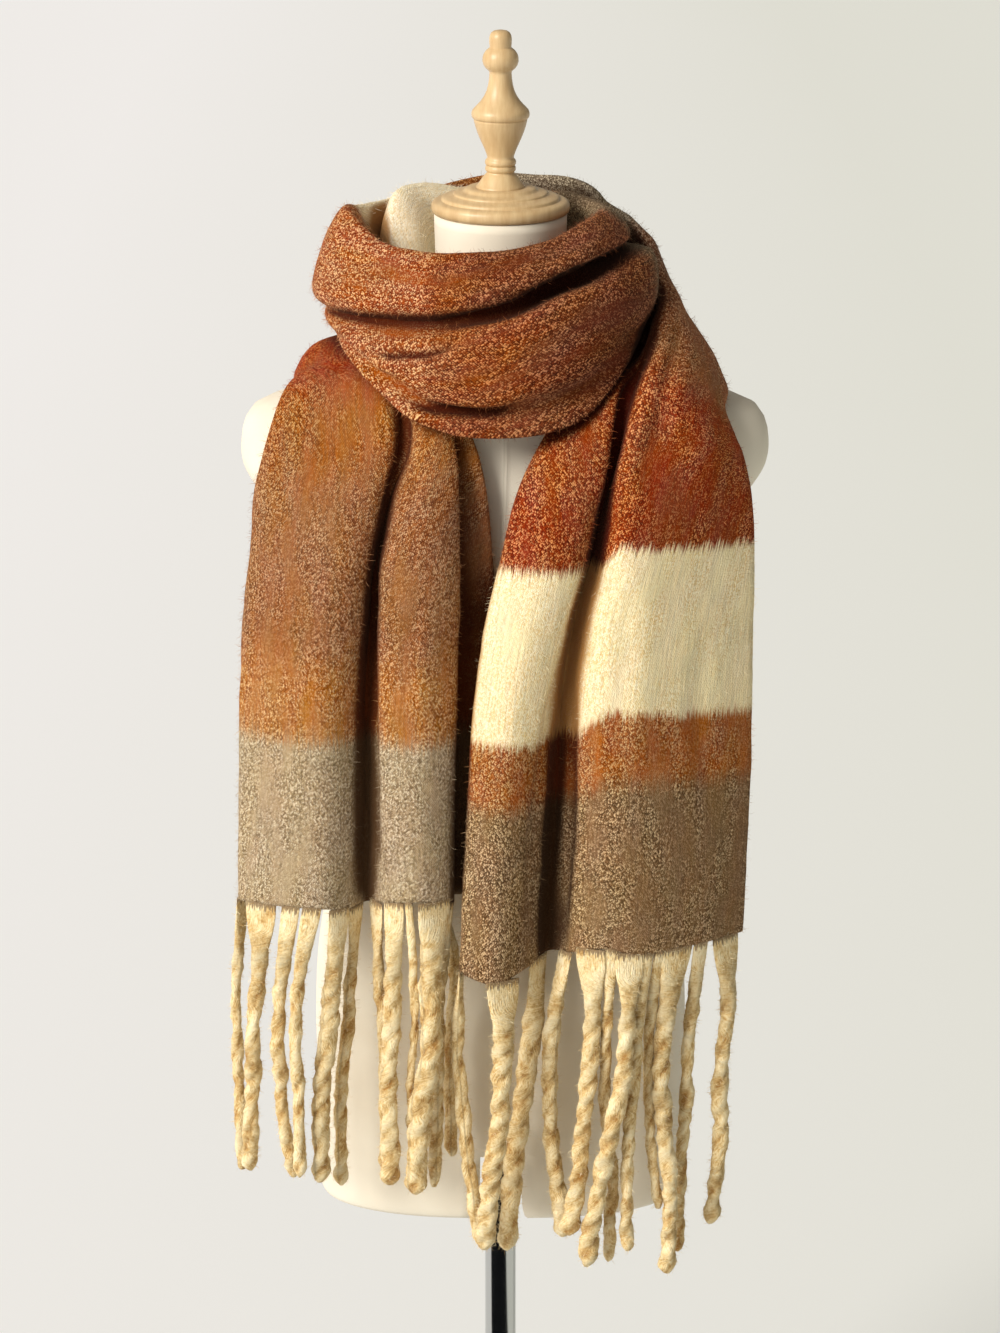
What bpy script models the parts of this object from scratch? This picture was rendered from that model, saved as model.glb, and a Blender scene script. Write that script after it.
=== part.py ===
"""Blanket scarf wound round the neck of a limbless dress form on a stand.

Origin at the centre of the base underside, +Z up, front faces -Y, viewer's right is +X.
Section tables are in millimetres; heights in them are measured from the underside of the neck cap.
"""
import math

import bmesh
import bpy
from mathutils import Vector

MM = 0.001
CAP_UNDERSIDE = 1.290      # height of the neck cap underside above the floor, metres
CLOTH_WALL = 3.4           # thickness of the brushed woven cloth
SEAM_GAP = 0.4             # space between neighbouring pieces
CREASE_ROOM = 0.8          # share of a crease radius that the wall may fill
HEM_GAP = 1.3              # space between a hem and its tassel strip
ACROSS_STEPS = 3           # facets between two fold lines
POLE_RADIUS = 12.5
COLLAR_RADIUS = 24.0
COLLAR_HEIGHT = 30.0
BASE_HEIGHT = 10.0
CROTCH_HALF = 16.0         # half the space between the leg stubs
CROTCH_HEIGHT = -738.0
CROTCH_ARCH = 6.0          # rise of the flat that the pole holds
STRIP_HEIGHT = 6.0         # knotted strip that the tassels hang from

# The scarf in ten fold lines, 0 at the neck side and 9 at the outer side, one row per section.
# Sections of the tails: across = sideways, out = front to back, height = up.
# Sections of the wraps: turn = degrees wound round the neck from the viewer's left, reach = distance
# from the neck axis.
LEFT_TAIL = (
    dict(height=(-510, -510, -506, -500, -504, -512, -511, -507, -511, -512),
         across=(-5, -45, -37, -60, -86, -103, -117, -138, -199, -188),
         out=(-97, -97, -122, -140, -130, -106, -124, -136, -104, -84)),
    dict(height=-427,
         across=(-4, -44, -36, -60, -88, -102, -114, -137, -197, -187),
         out=(-98, -97, -123, -141, -131, -104, -125, -136, -102, -82)),
    dict(height=-347,
         across=(-3, -43, -34, -60, -90, -101, -111, -136, -195, -186),
         out=(-100, -98, -125, -142, -131, -105, -126, -136, -100, -80)),
    dict(height=-285,
         across=(-3, -42, -32, -58, -87, -97, -106, -133, -191, -183),
         out=(-103, -101, -127, -142, -131, -106, -127, -134, -96, -76)),
    dict(height=-239,
         across=(-6, -41, -31, -57, -83, -92, -101, -126, -186, -179),
         out=(-101, -102, -125, -138, -129, -105, -124, -129, -90, -72)),
    dict(height=-194,
         across=(-10, -39, -32, -54, -73, -81, -90, -117, -182, -175),
         out=(-94, -97, -116, -127, -119, -101, -115, -118, -84, -68)),
    dict(height=-160,
         across=(-18, -40, -34, -50, -61, -69, -77, -111, -174, -167),
         out=(-86, -87, -98, -103, -99, -88, -95, -93, -74, -64)),
    dict(height=(-130, -126, -120, -118, -117, -117, -114, -113, -124, -137),
         across=(-33, -44, -44, -54, -65, -72, -78, -108, -160, -162),
         out=(-80, -80, -85, -84, -80, -76, -72, -60, -52, -48)),
    dict(height=(-94, -84, -76, -80, -90, -98, -102, -102, -113, -128),
         across=(-59, -60, -65, -76, -81, -84, -95, -111, -148, -155),
         out=(-46, -46, -47, -51, -51, -48, -48, -45, -37, -27)),
)
WRAPS = (
    dict(turn=0, reach=(57, 57, 66, 80, 85, 90, 106, 124, 139, 149),
         height=(-76, -56, -46, -44, -62, -82, -95, -96, -101, -117)),
    dict(turn=20, reach=(59, 59, 71, 86, 96, 94, 97, 100, 104, 104),
         height=(-72, -44, -8, 3, -22, -54, -80, -93, -99, -107)),
    dict(turn=45, reach=(60, 60, 73, 89, 98, 94, 95, 97, 101, 98),
         height=(-66, -34, 4, 9, -14, -42, -62, -80, -95, -107)),
    dict(turn=90, reach=(60, 58, 68, 84, 92, 88, 92, 94, 97, 95),
         height=(-62, -30, -3, -4, -26, -49, -66, -80, -94, -106)),
    dict(turn=135, reach=(60, 58, 68, 86, 92, 88, 92, 94, 97, 93),
         height=(-64, -26, 3, 0, -24, -46, -64, -79, -92, -101)),
    dict(turn=180, reach=(64, 62, 76, 96, 91, 112, 116, 108, 99, 88),
         height=(-62, -26, 3, -13, -25, -29, -57, -79, -90, -80)),
    dict(turn=215, reach=(62, 60, 75, 97, 76, 111, 118, 114, 114, 103),
         height=(-66, -32, 0, -15, -30, -38, -67, -84, -101, -97)),
    dict(turn=240, reach=(61, 59, 73, 98, 75, 109, 120, 110, 117, 105),
         height=(-72, -36, -9, -22, -36, -50, -94, -113, -134, -130)),
    dict(turn=270, reach=(60, 59, 73, 101, 87, 110, 120, 109, 116, 104),
         height=(-75, -40, -15, -40, -51, -70, -112, -126, -144, -141)),
    dict(turn=296, reach=(60, 60, 80, 105, 92, 112, 122, 116, 124, 112),
         height=(-74, -42, -17, -52, -63, -77, -106, -120, -135, -138)),
    dict(turn=315, reach=(71, 71, 88, 112, 99, 116, 126, 123, 128, 117),
         height=(-50, -36, -18, -55, -67, -77, -92, -101, -113, -116)),
    dict(turn=333, reach=(95, 91, 101, 126, 114, 124, 130, 129, 130, 119),
         height=(-48, -33, -14, -57, -68, -74, -79, -84, -91, -93)),
    dict(turn=360, reach=(101, 100, 116, 141, 129, 132, 131, 127, 119, 107),
         height=(-54, -26, 3, -59, -71, -76, -80, -84, -86, -80)),
    dict(turn=380, reach=(103, 101, 111, 133, 125, 128, 130, 127, 123, 115),
         height=(-58, -28, -2, -44, -62, -72, -81, -87, -94, -91)),
    dict(turn=405, reach=(104, 102, 109, 122, 121, 126, 131, 127, 127, 119),
         height=(-68, -34, -4, -22, -50, -72, -94, -108, -124, -131)),
    dict(turn=450, reach=(104, 103, 107, 118, 124, 122, 128, 131, 123, 113),
         height=(-74, -32, 8, -6, -34, -58, -82, -110, -138, -130)),
    dict(turn=495, reach=(104, 103, 106, 115, 121, 121, 128, 133, 129, 119),
         height=(-80, -40, 0, -12, -36, -60, -84, -106, -126, -121)),
    dict(turn=520, reach=(105, 108, 110, 114, 121, 128, 134, 143, 153, 151),
         height=(-106, -90, -50, -26, -27, -44, -64, -88, -108, -121)),
    dict(turn=540, reach=(98, 106, 114, 119, 120, 124, 131, 141, 159, 171),
         height=(-104, -104, -97, -82, -66, -61, -62, -80, -106, -132)),
    dict(turn=556, reach=(88, 98, 108, 116, 119, 124, 132, 144, 160, 175),
         height=(-99, -106, -106, -96, -80, -76, -78, -90, -113, -139)),
)
RIGHT_TAIL = (
    dict(height=(-112, -120, -122, -120, -118, -114, -110, -117, -134, -156),
         across=(55, 61, 73, 86, 94, 102, 113, 124, 150, 175),
         out=(-58, -66, -75, -78, -73, -77, -84, -86, -80, -66)),
    dict(height=(-159, -159, -159, -159, -159, -159, -159, -159, -161, -172),
         across=(33, 28, 52, 78, 84, 91, 98, 109, 147, 182),
         out=(-90, -99, -108, -103, -90, -100, -106, -103, -94, -66)),
    dict(height=(-193, -193, -193, -193, -193, -193, -193, -193, -194, -200),
         across=(19, 11, 38, 68, 76, 85, 95, 108, 148, 188),
         out=(-108, -119, -130, -123, -99, -115, -122, -119, -98, -66)),
    dict(height=-237,
         across=(10, 1, 28, 57, 68, 78, 90, 106, 148, 191),
         out=(-114, -127, -140, -132, -99, -121, -129, -127, -102, -69)),
    dict(height=-283,
         across=(-1, -10, 19, 44, 57, 69, 84, 102, 148, 191),
         out=(-115, -129, -143, -133, -98, -123, -131, -130, -104, -71)),
    dict(height=-345,
         across=(-10, -18, 8, 33, 47, 61, 79, 99, 147, 191),
         out=(-115, -129, -144, -131, -97, -122, -131, -131, -105, -73)),
    dict(height=-425,
         across=(-17, -24, 0, 24, 42, 59, 79, 102, 149, 191),
         out=(-115, -130, -144, -129, -96, -121, -132, -131, -105, -73)),
    dict(height=-490,
         across=(-19, -27, -4, 20, 39, 58, 79, 104, 150, 189),
         out=(-115, -130, -143, -128, -96, -120, -132, -131, -106, -74)),
    dict(height=(-562, -560, -566, -560, -556, -548, -541, -546, -547, -549),
         across=(-22, -30, -6, 17, 36, 56, 78, 104, 150, 187),
         out=(-114, -129, -142, -127, -97, -120, -131, -130, -106, -74)),
)
# Facets along the cloth between one section and the next, by stretch.
STRETCHES = (
    dict(name="tail_left", sections=9, steps=2),
    dict(name="wrap_back_inner", sections=5, steps=2.4),
    dict(name="front_loop", sections=7, steps=2),
    dict(name="wrap_back_outer", sections=6, steps=2.5),
    dict(name="tail_right", sections=10, steps=2),
)
# Tassels: share = place along the hem from the neck side, half = half width, path = sideways, front to
# back and drop from the hem.
LEFT_TASSELS = (
    dict(share=0.145, half=3.3, path=((10, 2, 61), (7, 3, 109), (6, 4, 158), (7, 4, 219))),
    dict(share=0.215, half=3.6, path=((-10, 3, 68), (-12, 5, 121), (-13, 6, 174), (-15, 7, 241))),
    dict(share=0.292, half=5.8, path=((-3, 0, 67), (-4, 0, 120), (-12, -1, 173), (-16, -2, 240))),
    dict(share=0.360, half=2.4, path=((3, 4, 54), (4, 8, 97), (1, 11, 139), (-1, 12, 193))),
    dict(share=0.402, half=5.0, path=((-1, 0, 65), (-3, 0, 117), (-5, 0, 168), (-4, 0, 233))),
    dict(share=0.480, half=3.3, path=((2, 3, 64), (5, 5, 114), (5, 6, 164), (6, 6, 228))),
    dict(share=0.562, half=3.4, path=((-5, 2, 66), (-10, 3, 117), (-15, 4, 169), (-14, 4, 235))),
    dict(share=0.627, half=5.0, path=((-6, 0, 63), (-12, 0, 113), (-17, 0, 163), (-17, 0, 226))),
    dict(share=0.703, half=3.7, path=((-11, -2, 62), (-14, -4, 110), (-12, -5, 158), (-12, -5, 220))),
    dict(share=0.760, half=3.9, path=((-8, 0, 63), (-11, 1, 112), (-9, 3, 162), (-1, 4, 225))),
    dict(share=0.846, half=4.4, path=((-3, 0, 62), (-8, 0, 111), (-9, 0, 159), (-12, 0, 221))),
    dict(share=0.950, half=3.0, path=((-6, 0, 64), (-7, 0, 114), (-6, 0, 164), (-5, 0, 228))),
)
RIGHT_TASSELS = (
    dict(share=0.050, half=3.8, path=((-3, 2, 65), (1, 3, 117), (6, 3, 168), (14, 3, 233))),
    dict(share=0.185, half=5.1, path=((0, 0, 63), (-3, 0, 112), (-9, 0, 161), (-15, 0, 223))),
    dict(share=0.339, half=5.4, path=((-5, 0, 69), (-13, 0, 123), (-20, 0, 178), (-24, 0, 247))),
    dict(share=0.450, half=4.6, path=((-10, 0, 67), (-12, 0, 119), (-9, 0, 172), (0, 0, 239))),
    dict(share=0.536, half=5.0, path=((2, -1, 66), (-2, -3, 118), (-7, -4, 170), (-15, -4, 236))),
    dict(share=0.592, half=3.1, path=((-3, 6, 75), (-4, 13, 134), (2, 15, 192), (0, 14, 267))),
    dict(share=0.641, half=4.6, path=((-2, -2, 72), (-10, -4, 129), (-22, -5, 186), (-32, -4, 259))),
    dict(share=0.689, half=3.5, path=((-7, 3, 69), (-11, 3, 123), (-15, 0, 178), (-13, -2, 247))),
    dict(share=0.724, half=3.1, path=((-6, 9, 62), (-7, 13, 110), (-5, 13, 158), (2, 13, 220))),
    dict(share=0.778, half=5.0, path=((-10, 0, 76), (-10, 0, 135), (-3, -2, 195), (-6, -3, 271))),
    dict(share=0.851, half=3.8, path=((-7, 3, 73), (-9, 5, 131), (-12, 6, 189), (-15, 6, 262))),
    dict(share=0.938, half=4.3, path=((3, 0, 68), (-2, 0, 121), (-1, 0, 174), (-8, 0, 242))),
)
# Sections of a tassel down its drop: wide and deep are shares of its half width.
TASSEL_RINGS = (
    dict(share=0.09, wide=1.20, deep=0.75),
    dict(share=0.22, wide=1.00, deep=0.95),
    dict(share=0.40, wide=0.98, deep=0.98),
    dict(share=0.58, wide=0.95, deep=0.95),
    dict(share=0.76, wide=0.98, deep=0.98),
    dict(share=0.92, wide=1.02, deep=1.02),
    dict(share=0.985, wide=0.98, deep=0.98),
    dict(share=1.00, wide=0.62, deep=0.62),
)
# Dress form: a row per section, half = half width, front and back = depths, square = corner sharpness,
# shift = how far the section sits to the right.
BODY = (
    dict(height=-0.4, half=50, front=50, back=50, square=2.0),
    dict(height=-50, half=50, front=50, back=50, square=2.0),
    dict(height=-78, half=54.8, front=53, back=55.5, square=2.0),
    dict(height=-94, half=66, front=58, back=64, square=2.0),
    dict(height=-107, half=86, front=63.5, back=71, square=2.0),
    dict(height=-118, half=108, front=67.5, back=78, square=2.0),
    dict(height=-128, half=134, front=68.5, back=82, square=1.9, shift=1),
    dict(height=-136, half=158, front=67, back=84, square=1.9, shift=2),
    dict(height=-143, half=180, front=68, back=86, square=2.0, shift=3),
    dict(height=-149, half=192, front=70, back=88, square=2.1, shift=3.5),
    dict(height=-158, half=198, front=71, back=89, square=2.3, shift=3.5),
    dict(height=-172, half=201, front=74, back=91, square=2.5, shift=3.5),
    dict(height=-190, half=200, front=78, back=93, square=2.6, shift=3),
    dict(height=-208, half=190, front=82, back=95, square=2.6, shift=2.5),
    dict(height=-228, half=173, front=87, back=96, square=2.5, shift=1.5),
    dict(height=-248, half=158, front=91, back=95, square=2.4, shift=1),
    dict(height=-275, half=146, front=93, back=91, square=2.3),
    dict(height=-330, half=128, front=84, back=83, square=2.2),
    dict(height=-385, half=112, front=73, back=75, square=2.15),
    dict(height=-430, half=106, front=67, back=73, square=2.1),
    dict(height=-500, half=124, front=74, back=92, square=2.2),
    dict(height=-570, half=142, front=77, back=108, square=2.3),
    dict(height=-640, half=147, front=79, back=110, square=2.3),
    dict(height=-700, half=146, front=79, back=101, square=2.35),
    dict(height=-738, half=146, front=78, back=95, square=2.4),
)
BODY_HALF_POINTS = 17
LEG_BOTTOM = -794.0
# Turned pieces: (radius, height above the cap underside).
CAP_PROFILE = (
    (0, 0), (49.5, 0), (51.6, 1.6), (52.0, 4.5), (51.4, 7.6), (49.2, 9.6), (44.0, 10.6), (42.4, 12.2),
    (38.5, 13.8), (33.0, 15.2), (28.0, 16.4), (25.4, 18.2), (22.0, 19.4), (0, 19.4),
)
FINIAL_PROFILE = (
    (0, 19.8), (17.6, 19.8), (16.4, 22.2), (13.4, 26.8), (10.9, 29.6), (10.3, 31.4), (11.5, 32.8),
    (11.5, 35.0), (10.8, 36.2), (11.5, 37.4), (11.5, 39.4), (11.0, 41.6), (10.2, 43.0), (11.6, 47.0),
    (15.2, 55.0), (18.4, 63.0), (20.2, 69.0), (20.6, 71.4), (21.6, 73.0), (21.4, 76.5), (19.6, 79.5),
    (14.6, 85.5), (10.8, 91.5), (9.2, 96.0), (8.4, 101.0), (8.2, 107.0), (10.8, 109.0), (13.2, 112.8),
    (13.5, 116.6), (12.2, 120.4), (9.0, 123.4), (8.2, 124.6), (8.2, 132.6), (7.0, 135.6), (4.2, 137.0),
    (0, 137.3),
)


def to_world(x, y, height):
    """Millimetres from the neck axis and the cap underside to metres from the floor."""
    return Vector((x * MM, y * MM, CAP_UNDERSIDE + height * MM))


def clear_scene():
    """Remove what a new file starts with."""
    for thing in list(bpy.data.objects):
        bpy.data.objects.remove(thing, do_unlink=True)


def make_material(name, color, roughness, metallic=0.0):
    """A plain Principled material."""
    material = bpy.data.materials.new(name)
    material.use_nodes = True
    shader = material.node_tree.nodes["Principled BSDF"]
    shader.inputs["Base Color"].default_value = (*color, 1.0)
    shader.inputs["Roughness"].default_value = roughness
    shader.inputs["Metallic"].default_value = metallic
    return material


def make_object(name, points, faces, material, smooth=True):
    """A mesh object with outward faces."""
    mesh = bpy.data.meshes.new(name)
    mesh.from_pydata([tuple(p) for p in points], [], faces)
    shape = bmesh.new()
    shape.from_mesh(mesh)
    bmesh.ops.recalc_face_normals(shape, faces=shape.faces)
    if shape.calc_volume(signed=True) < 0:
        bmesh.ops.reverse_faces(shape, faces=shape.faces)
    shape.to_mesh(mesh)
    shape.free()
    mesh.materials.append(material)
    for face in mesh.polygons:
        face.use_smooth = smooth
    thing = bpy.data.objects.new(name, mesh)
    bpy.context.scene.collection.objects.link(thing)
    return thing


def knots_of(points, power):
    """Running parameter along a row of points."""
    knots = [0.0]
    for before, after in zip(points, points[1:]):
        knots.append(knots[-1] + max((after - before).length, 1e-6) ** power)
    return knots


def slopes_of(points, knots):
    """Slope at each point of a smooth curve through all of them."""
    slopes = []
    last = len(points) - 1
    for i in range(last + 1):
        if i == 0:
            slopes.append((points[1] - points[0]) / (knots[1] - knots[0]))
        elif i == last:
            slopes.append((points[last] - points[last - 1]) / (knots[last] - knots[last - 1]))
        else:
            left = knots[i] - knots[i - 1]
            right = knots[i + 1] - knots[i]
            before = (points[i] - points[i - 1]) / left
            after = (points[i + 1] - points[i]) / right
            slopes.append((before * right + after * left) / (left + right))
    return slopes


def curve_at(points, knots, slopes, place):
    """Point of the smooth curve at a place counted in intervals."""
    i = min(max(int(place), 0), len(points) - 2)
    t = place - i
    span = knots[i + 1] - knots[i]
    a = 2 * t ** 3 - 3 * t ** 2 + 1
    b = t ** 3 - 2 * t ** 2 + t
    c = -2 * t ** 3 + 3 * t ** 2
    d = t ** 3 - t ** 2
    return points[i] * a + slopes[i] * (b * span) + points[i + 1] * c + slopes[i + 1] * (d * span)


def tail_section(row):
    """Fold points of one section of a tail."""
    heights = row["height"]
    if not isinstance(heights, tuple):
        heights = (heights,) * len(row["across"])
    return [to_world(x, y, z) for x, y, z in zip(row["across"], row["out"], heights)]


def wrap_section(row):
    """Fold points of one section wound round the neck."""
    angle = math.radians(-90.0 - row["turn"])
    side = math.sin(angle)
    ahead = -math.cos(angle)
    return [to_world(r * side, r * ahead, z) for r, z in zip(row["reach"], row["height"])]


class Sheet:
    """The whole scarf as one smooth surface through its fold lines."""

    def __init__(self):
        self.rows = [tail_section(row) for row in LEFT_TAIL]
        self.rows += [wrap_section(row) for row in WRAPS]
        self.rows += [tail_section(row) for row in RIGHT_TAIL]
        self.folds = len(self.rows[0])
        middle = [sum(row, Vector()) / self.folds for row in self.rows]
        self.knots = knots_of(middle, 0.5)
        self.lines = []
        for i in range(self.folds):
            line = [row[i] for row in self.rows]
            self.lines.append((line, slopes_of(line, self.knots)))

    def row_at(self, place, steps):
        """A finely divided section at a place along the cloth."""
        folds = [curve_at(line, self.knots, slopes, place) for line, slopes in self.lines]
        knots = knots_of(folds, 0.5)
        slopes = slopes_of(folds, knots)
        count = (self.folds - 1) * steps
        return [curve_at(folds, knots, slopes, i / steps) for i in range(count + 1)]

    def shortest_step(self, place, toward):
        """The least distance that any fold line covers per unit of place."""
        here = [curve_at(line, self.knots, slopes, place) for line, slopes in self.lines]
        there = [curve_at(line, self.knots, slopes, place + toward) for line, slopes in self.lines]
        return min((b - a).length for a, b in zip(here, there)) / abs(toward)


def section_normals(sheet, place, steps):
    """Normal at each point of a section, the same from either side of a seam."""
    step = 0.03
    last = len(sheet.rows) - 1
    here = sheet.row_at(place, steps)
    before = sheet.row_at(max(place - step, 0.0), steps)
    after = sheet.row_at(min(place + step, last), steps)
    normals = []
    for j in range(len(here)):
        along = after[j] - before[j]
        across = here[min(j + 1, len(here) - 1)] - here[max(j - 1, 0)]
        normals.append(along.cross(across).normalized())
    return normals


def wall_halves(row, normals):
    """Half thickness to each side, less inside a tight crease so that the wall does not cross itself."""
    half = CLOTH_WALL * MM / 2
    halves = []
    for j in range(len(row)):
        out_side = half
        in_side = half
        if 0 < j < len(row) - 1:
            before = row[j] - row[j - 1]
            after = row[j + 1] - row[j]
            bend = before.angle(after, 0.0)
            if bend > 0.05:
                radius = min(before.length, after.length) / (2 * math.tan(bend / 2))
                room = max(CREASE_ROOM * radius, 0.35 * MM)
                if (after.normalized() - before.normalized()).dot(normals[j]) > 0:
                    out_side = min(half, room)
                else:
                    in_side = min(half, room)
        halves.append((out_side, in_side))
    return halves


def sheet_solid(name, sheet, places, material):
    """A stretch of the cloth as a closed wall."""
    grid = [sheet.row_at(place, ACROSS_STEPS) for place in places]
    rows = len(grid)
    columns = len(grid[0])
    front = []
    rear = []
    for i in range(rows):
        normals = section_normals(sheet, places[i], ACROSS_STEPS)
        halves = wall_halves(grid[i], normals)
        for j in range(columns):
            front.append(grid[i][j] + normals[j] * halves[j][0])
            rear.append(grid[i][j] - normals[j] * halves[j][1])
    points = front + rear
    back = rows * columns
    faces = []
    for i in range(rows - 1):
        for j in range(columns - 1):
            a = i * columns + j
            b = a + 1
            c = a + columns + 1
            d = a + columns
            faces.append((a, b, c, d))
            faces.append((back + d, back + c, back + b, back + a))
    for i in range(rows - 1):
        for j in (0, columns - 1):
            a = i * columns + j
            d = a + columns
            faces.append((a, d, back + d, back + a))
    for j in range(columns - 1):
        for i in (0, rows - 1):
            a = i * columns + j
            faces.append((a, a + 1, back + a + 1, back + a))
    return make_object(name, points, faces, material)


def build_cloth(sheet, material):
    """One solid for each stretch of the cloth that shows."""
    start = 0.0
    last = len(sheet.rows) - 1
    for stretch in STRETCHES:
        end = min(start + stretch["sections"], last)
        places = []
        count = int(round((end - start) * stretch["steps"]))
        for i in range(count + 1):
            places.append(start + (end - start) * i / count)
        if start > 0:
            places[0] += SEAM_GAP * MM * 0.5 / sheet.shortest_step(start, 0.05)
        if end < last:
            places[-1] -= SEAM_GAP * MM * 0.5 / sheet.shortest_step(end, -0.05)
        sheet_solid(stretch["name"], sheet, places, material)
        start = end


def along_hem(hem, share):
    """Point and direction at a share of the length of a hem."""
    lengths = [0.0]
    for a, b in zip(hem, hem[1:]):
        lengths.append(lengths[-1] + (b - a).length)
    target = share * lengths[-1]
    for i in range(len(hem) - 1):
        if target <= lengths[i + 1] or i == len(hem) - 2:
            part = (target - lengths[i]) / (lengths[i + 1] - lengths[i])
            return hem[i].lerp(hem[i + 1], part), (hem[i + 1] - hem[i]).normalized()
    return hem[-1], Vector((1, 0, 0))


def tassel_centre(hem_point, row, drop):
    """Middle of a tassel at a drop below the hem."""
    stops = [(0, 0, 0)] + list(row["path"])
    knots = [stop[2] for stop in stops]
    points = [Vector(stop) for stop in stops]
    slopes = slopes_of(points, knots)
    place = 0.0
    for i in range(len(knots) - 1):
        if drop >= knots[i]:
            place = i + min((drop - knots[i]) / (knots[i + 1] - knots[i]), 0.9999)
    shift = curve_at(points, knots, slopes, place)
    return hem_point + Vector((shift.x, shift.y, -drop)) * MM


def build_fringe(name, hem, tassels, material):
    """Tassels on a narrow strip under a hem, as one closed body."""
    half_wall = 2.2 * MM
    gap = HEM_GAP * MM
    length = sum((b - a).length for a, b in zip(hem, hem[1:]))
    places = [row["share"] for row in tassels]
    shares = [0.004]
    cells = []
    for i, row in enumerate(tassels):
        room = [7.0 * MM]
        if i > 0:
            room.append((places[i] - places[i - 1]) * length / 2 - 0.7 * MM)
        if i < len(tassels) - 1:
            room.append((places[i + 1] - places[i]) * length / 2 - 0.7 * MM)
        half_root = min(room)
        shares.append(row["share"] - half_root / length)
        cells.append(len(shares) - 1)
        shares.append(row["share"] + half_root / length)
    shares.append(0.996)
    stations = []
    for share in shares:
        here, _ = along_hem(hem, share)
        before, _ = along_hem(hem, max(share - 0.02, 0.0))
        after, _ = along_hem(hem, min(share + 0.02, 1.0))
        along = (after - before)
        along.z = 0.0
        along.normalize()
        side = Vector((along.y, -along.x, 0.0)) * half_wall
        top = here - Vector((0, 0, gap))
        low = top - Vector((0, 0, STRIP_HEIGHT * MM))
        stations.append((top + side, top - side, low - side, low + side))
    points = [p for ring in stations for p in ring]
    faces = [(0, 1, 2, 3)]
    last = (len(stations) - 1) * 4
    faces.append((last + 3, last + 2, last + 1, last))
    for i in range(len(stations) - 1):
        for k in range(4):
            a = i * 4 + k
            b = i * 4 + (k + 1) % 4
            if k == 2 and i in cells:
                continue
            faces.append((a, b, b + 4, a + 4))
    for row, cell in zip(tassels, cells):
        corners = [cell * 4 + 3, cell * 4 + 2, cell * 4 + 6, cell * 4 + 7]
        along = points[corners[2]] - points[corners[1]]
        along.z = 0.0
        along.normalize()
        side = Vector((along.y, -along.x, 0.0))
        hem_point, _ = along_hem(hem, row["share"])
        for ring in TASSEL_RINGS:
            centre = tassel_centre(hem_point, row, row["path"][-1][2] * ring["share"])
            wide = along * (row["half"] * ring["wide"] * MM)
            deep = side * (row["half"] * ring["deep"] * MM)
            start = len(points)
            points += [centre - wide + deep, centre - wide - deep, centre + wide - deep, centre + wide + deep]
            fresh = [start + k for k in range(4)]
            for k in range(4):
                faces.append((corners[k], corners[(k + 1) % 4], fresh[(k + 1) % 4], fresh[k]))
            corners = fresh
        faces.append(tuple(corners))
    return make_object(name, points, faces, material)


def body_half(row, side):
    """Points of one side of a body section, from front to back."""
    start = math.asin((CROTCH_HALF / row["half"]) ** (row["square"] / 2))
    points = []
    power = 2.0 / row["square"]
    for i in range(BODY_HALF_POINTS):
        angle = start + (math.pi - 2 * start) * i / (BODY_HALF_POINTS - 1)
        x = row["half"] * abs(math.sin(angle)) ** power
        depth = row["front"] if math.cos(angle) > 0 else row["back"]
        y = -depth * math.copysign(abs(math.cos(angle)) ** power, math.cos(angle))
        points.append(to_world(side * x + row.get("shift", 0), y, row["height"]))
    return points


def build_body(material):
    """Neck, shoulders and trunk down to two short leg stubs, as one closed body."""
    points = []
    faces = []
    half = BODY_HALF_POINTS
    size = half * 2
    for row in BODY:
        points += body_half(row, 1)
        points += list(reversed(body_half(row, -1)))
    for i in range(len(BODY) - 1):
        for j in range(size):
            a = i * size + j
            b = i * size + (j + 1) % size
            faces.append((a, b, b + size, a + size))
    top = len(points)
    points.append(to_world(0, 0, BODY[0]["height"]))
    for j in range(size):
        faces.append((top, (j + 1) % size, j))
    base = (len(BODY) - 1) * size
    bottom = BODY[-1]
    inner = {}
    for side in (1, -1):
        line = []
        for k in range(1, 6):
            y = -bottom["front"] + (bottom["front"] + bottom["back"]) * k / 6
            line.append(len(points))
            points.append(to_world(side * CROTCH_HALF, y * 0.98, CROTCH_HEIGHT + (CROTCH_ARCH if 1 < k < 5 else 0)))
        inner[side] = line
    right = [base + j for j in range(half)]
    left = [base + half + j for j in range(half)]
    left.reverse()
    for a, b in zip([right[0]] + inner[1], inner[1] + [right[-1]]):
        i = ([right[0]] + inner[1]).index(a)
        row_left = [left[0]] + inner[-1] + [left[-1]]
        faces.append((a, b, row_left[i + 1], row_left[i]))
    for side, outer in ((1, right), (-1, left)):
        ring = outer + list(reversed(inner[side]))
        centre = sum((points[i] for i in outer), Vector()) / len(outer)
        for height, shrink in ((-760, 1.0), (-782, 0.985), (-791, 0.95), (LEG_BOTTOM, 0.88)):
            fresh = []
            for i in ring:
                first = points[i]
                x = centre.x + (first.x - centre.x) * (shrink if height != -760 else 0.995)
                y = centre.y + (first.y - centre.y) * (shrink if height != -760 else 0.995)
                fresh.append(len(points))
                points.append(Vector((x, y, CAP_UNDERSIDE + height * MM)))
            for k in range(len(ring)):
                n = (k + 1) % len(ring)
                faces.append((ring[k], ring[n], fresh[n], fresh[k]))
            ring = fresh
        middle = len(points)
        total = sum((points[i] for i in ring), Vector()) / len(ring)
        points.append(total)
        for k in range(len(ring)):
            faces.append((middle, ring[k], ring[(k + 1) % len(ring)]))
    return make_object("form_torso", points, faces, material)


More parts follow.
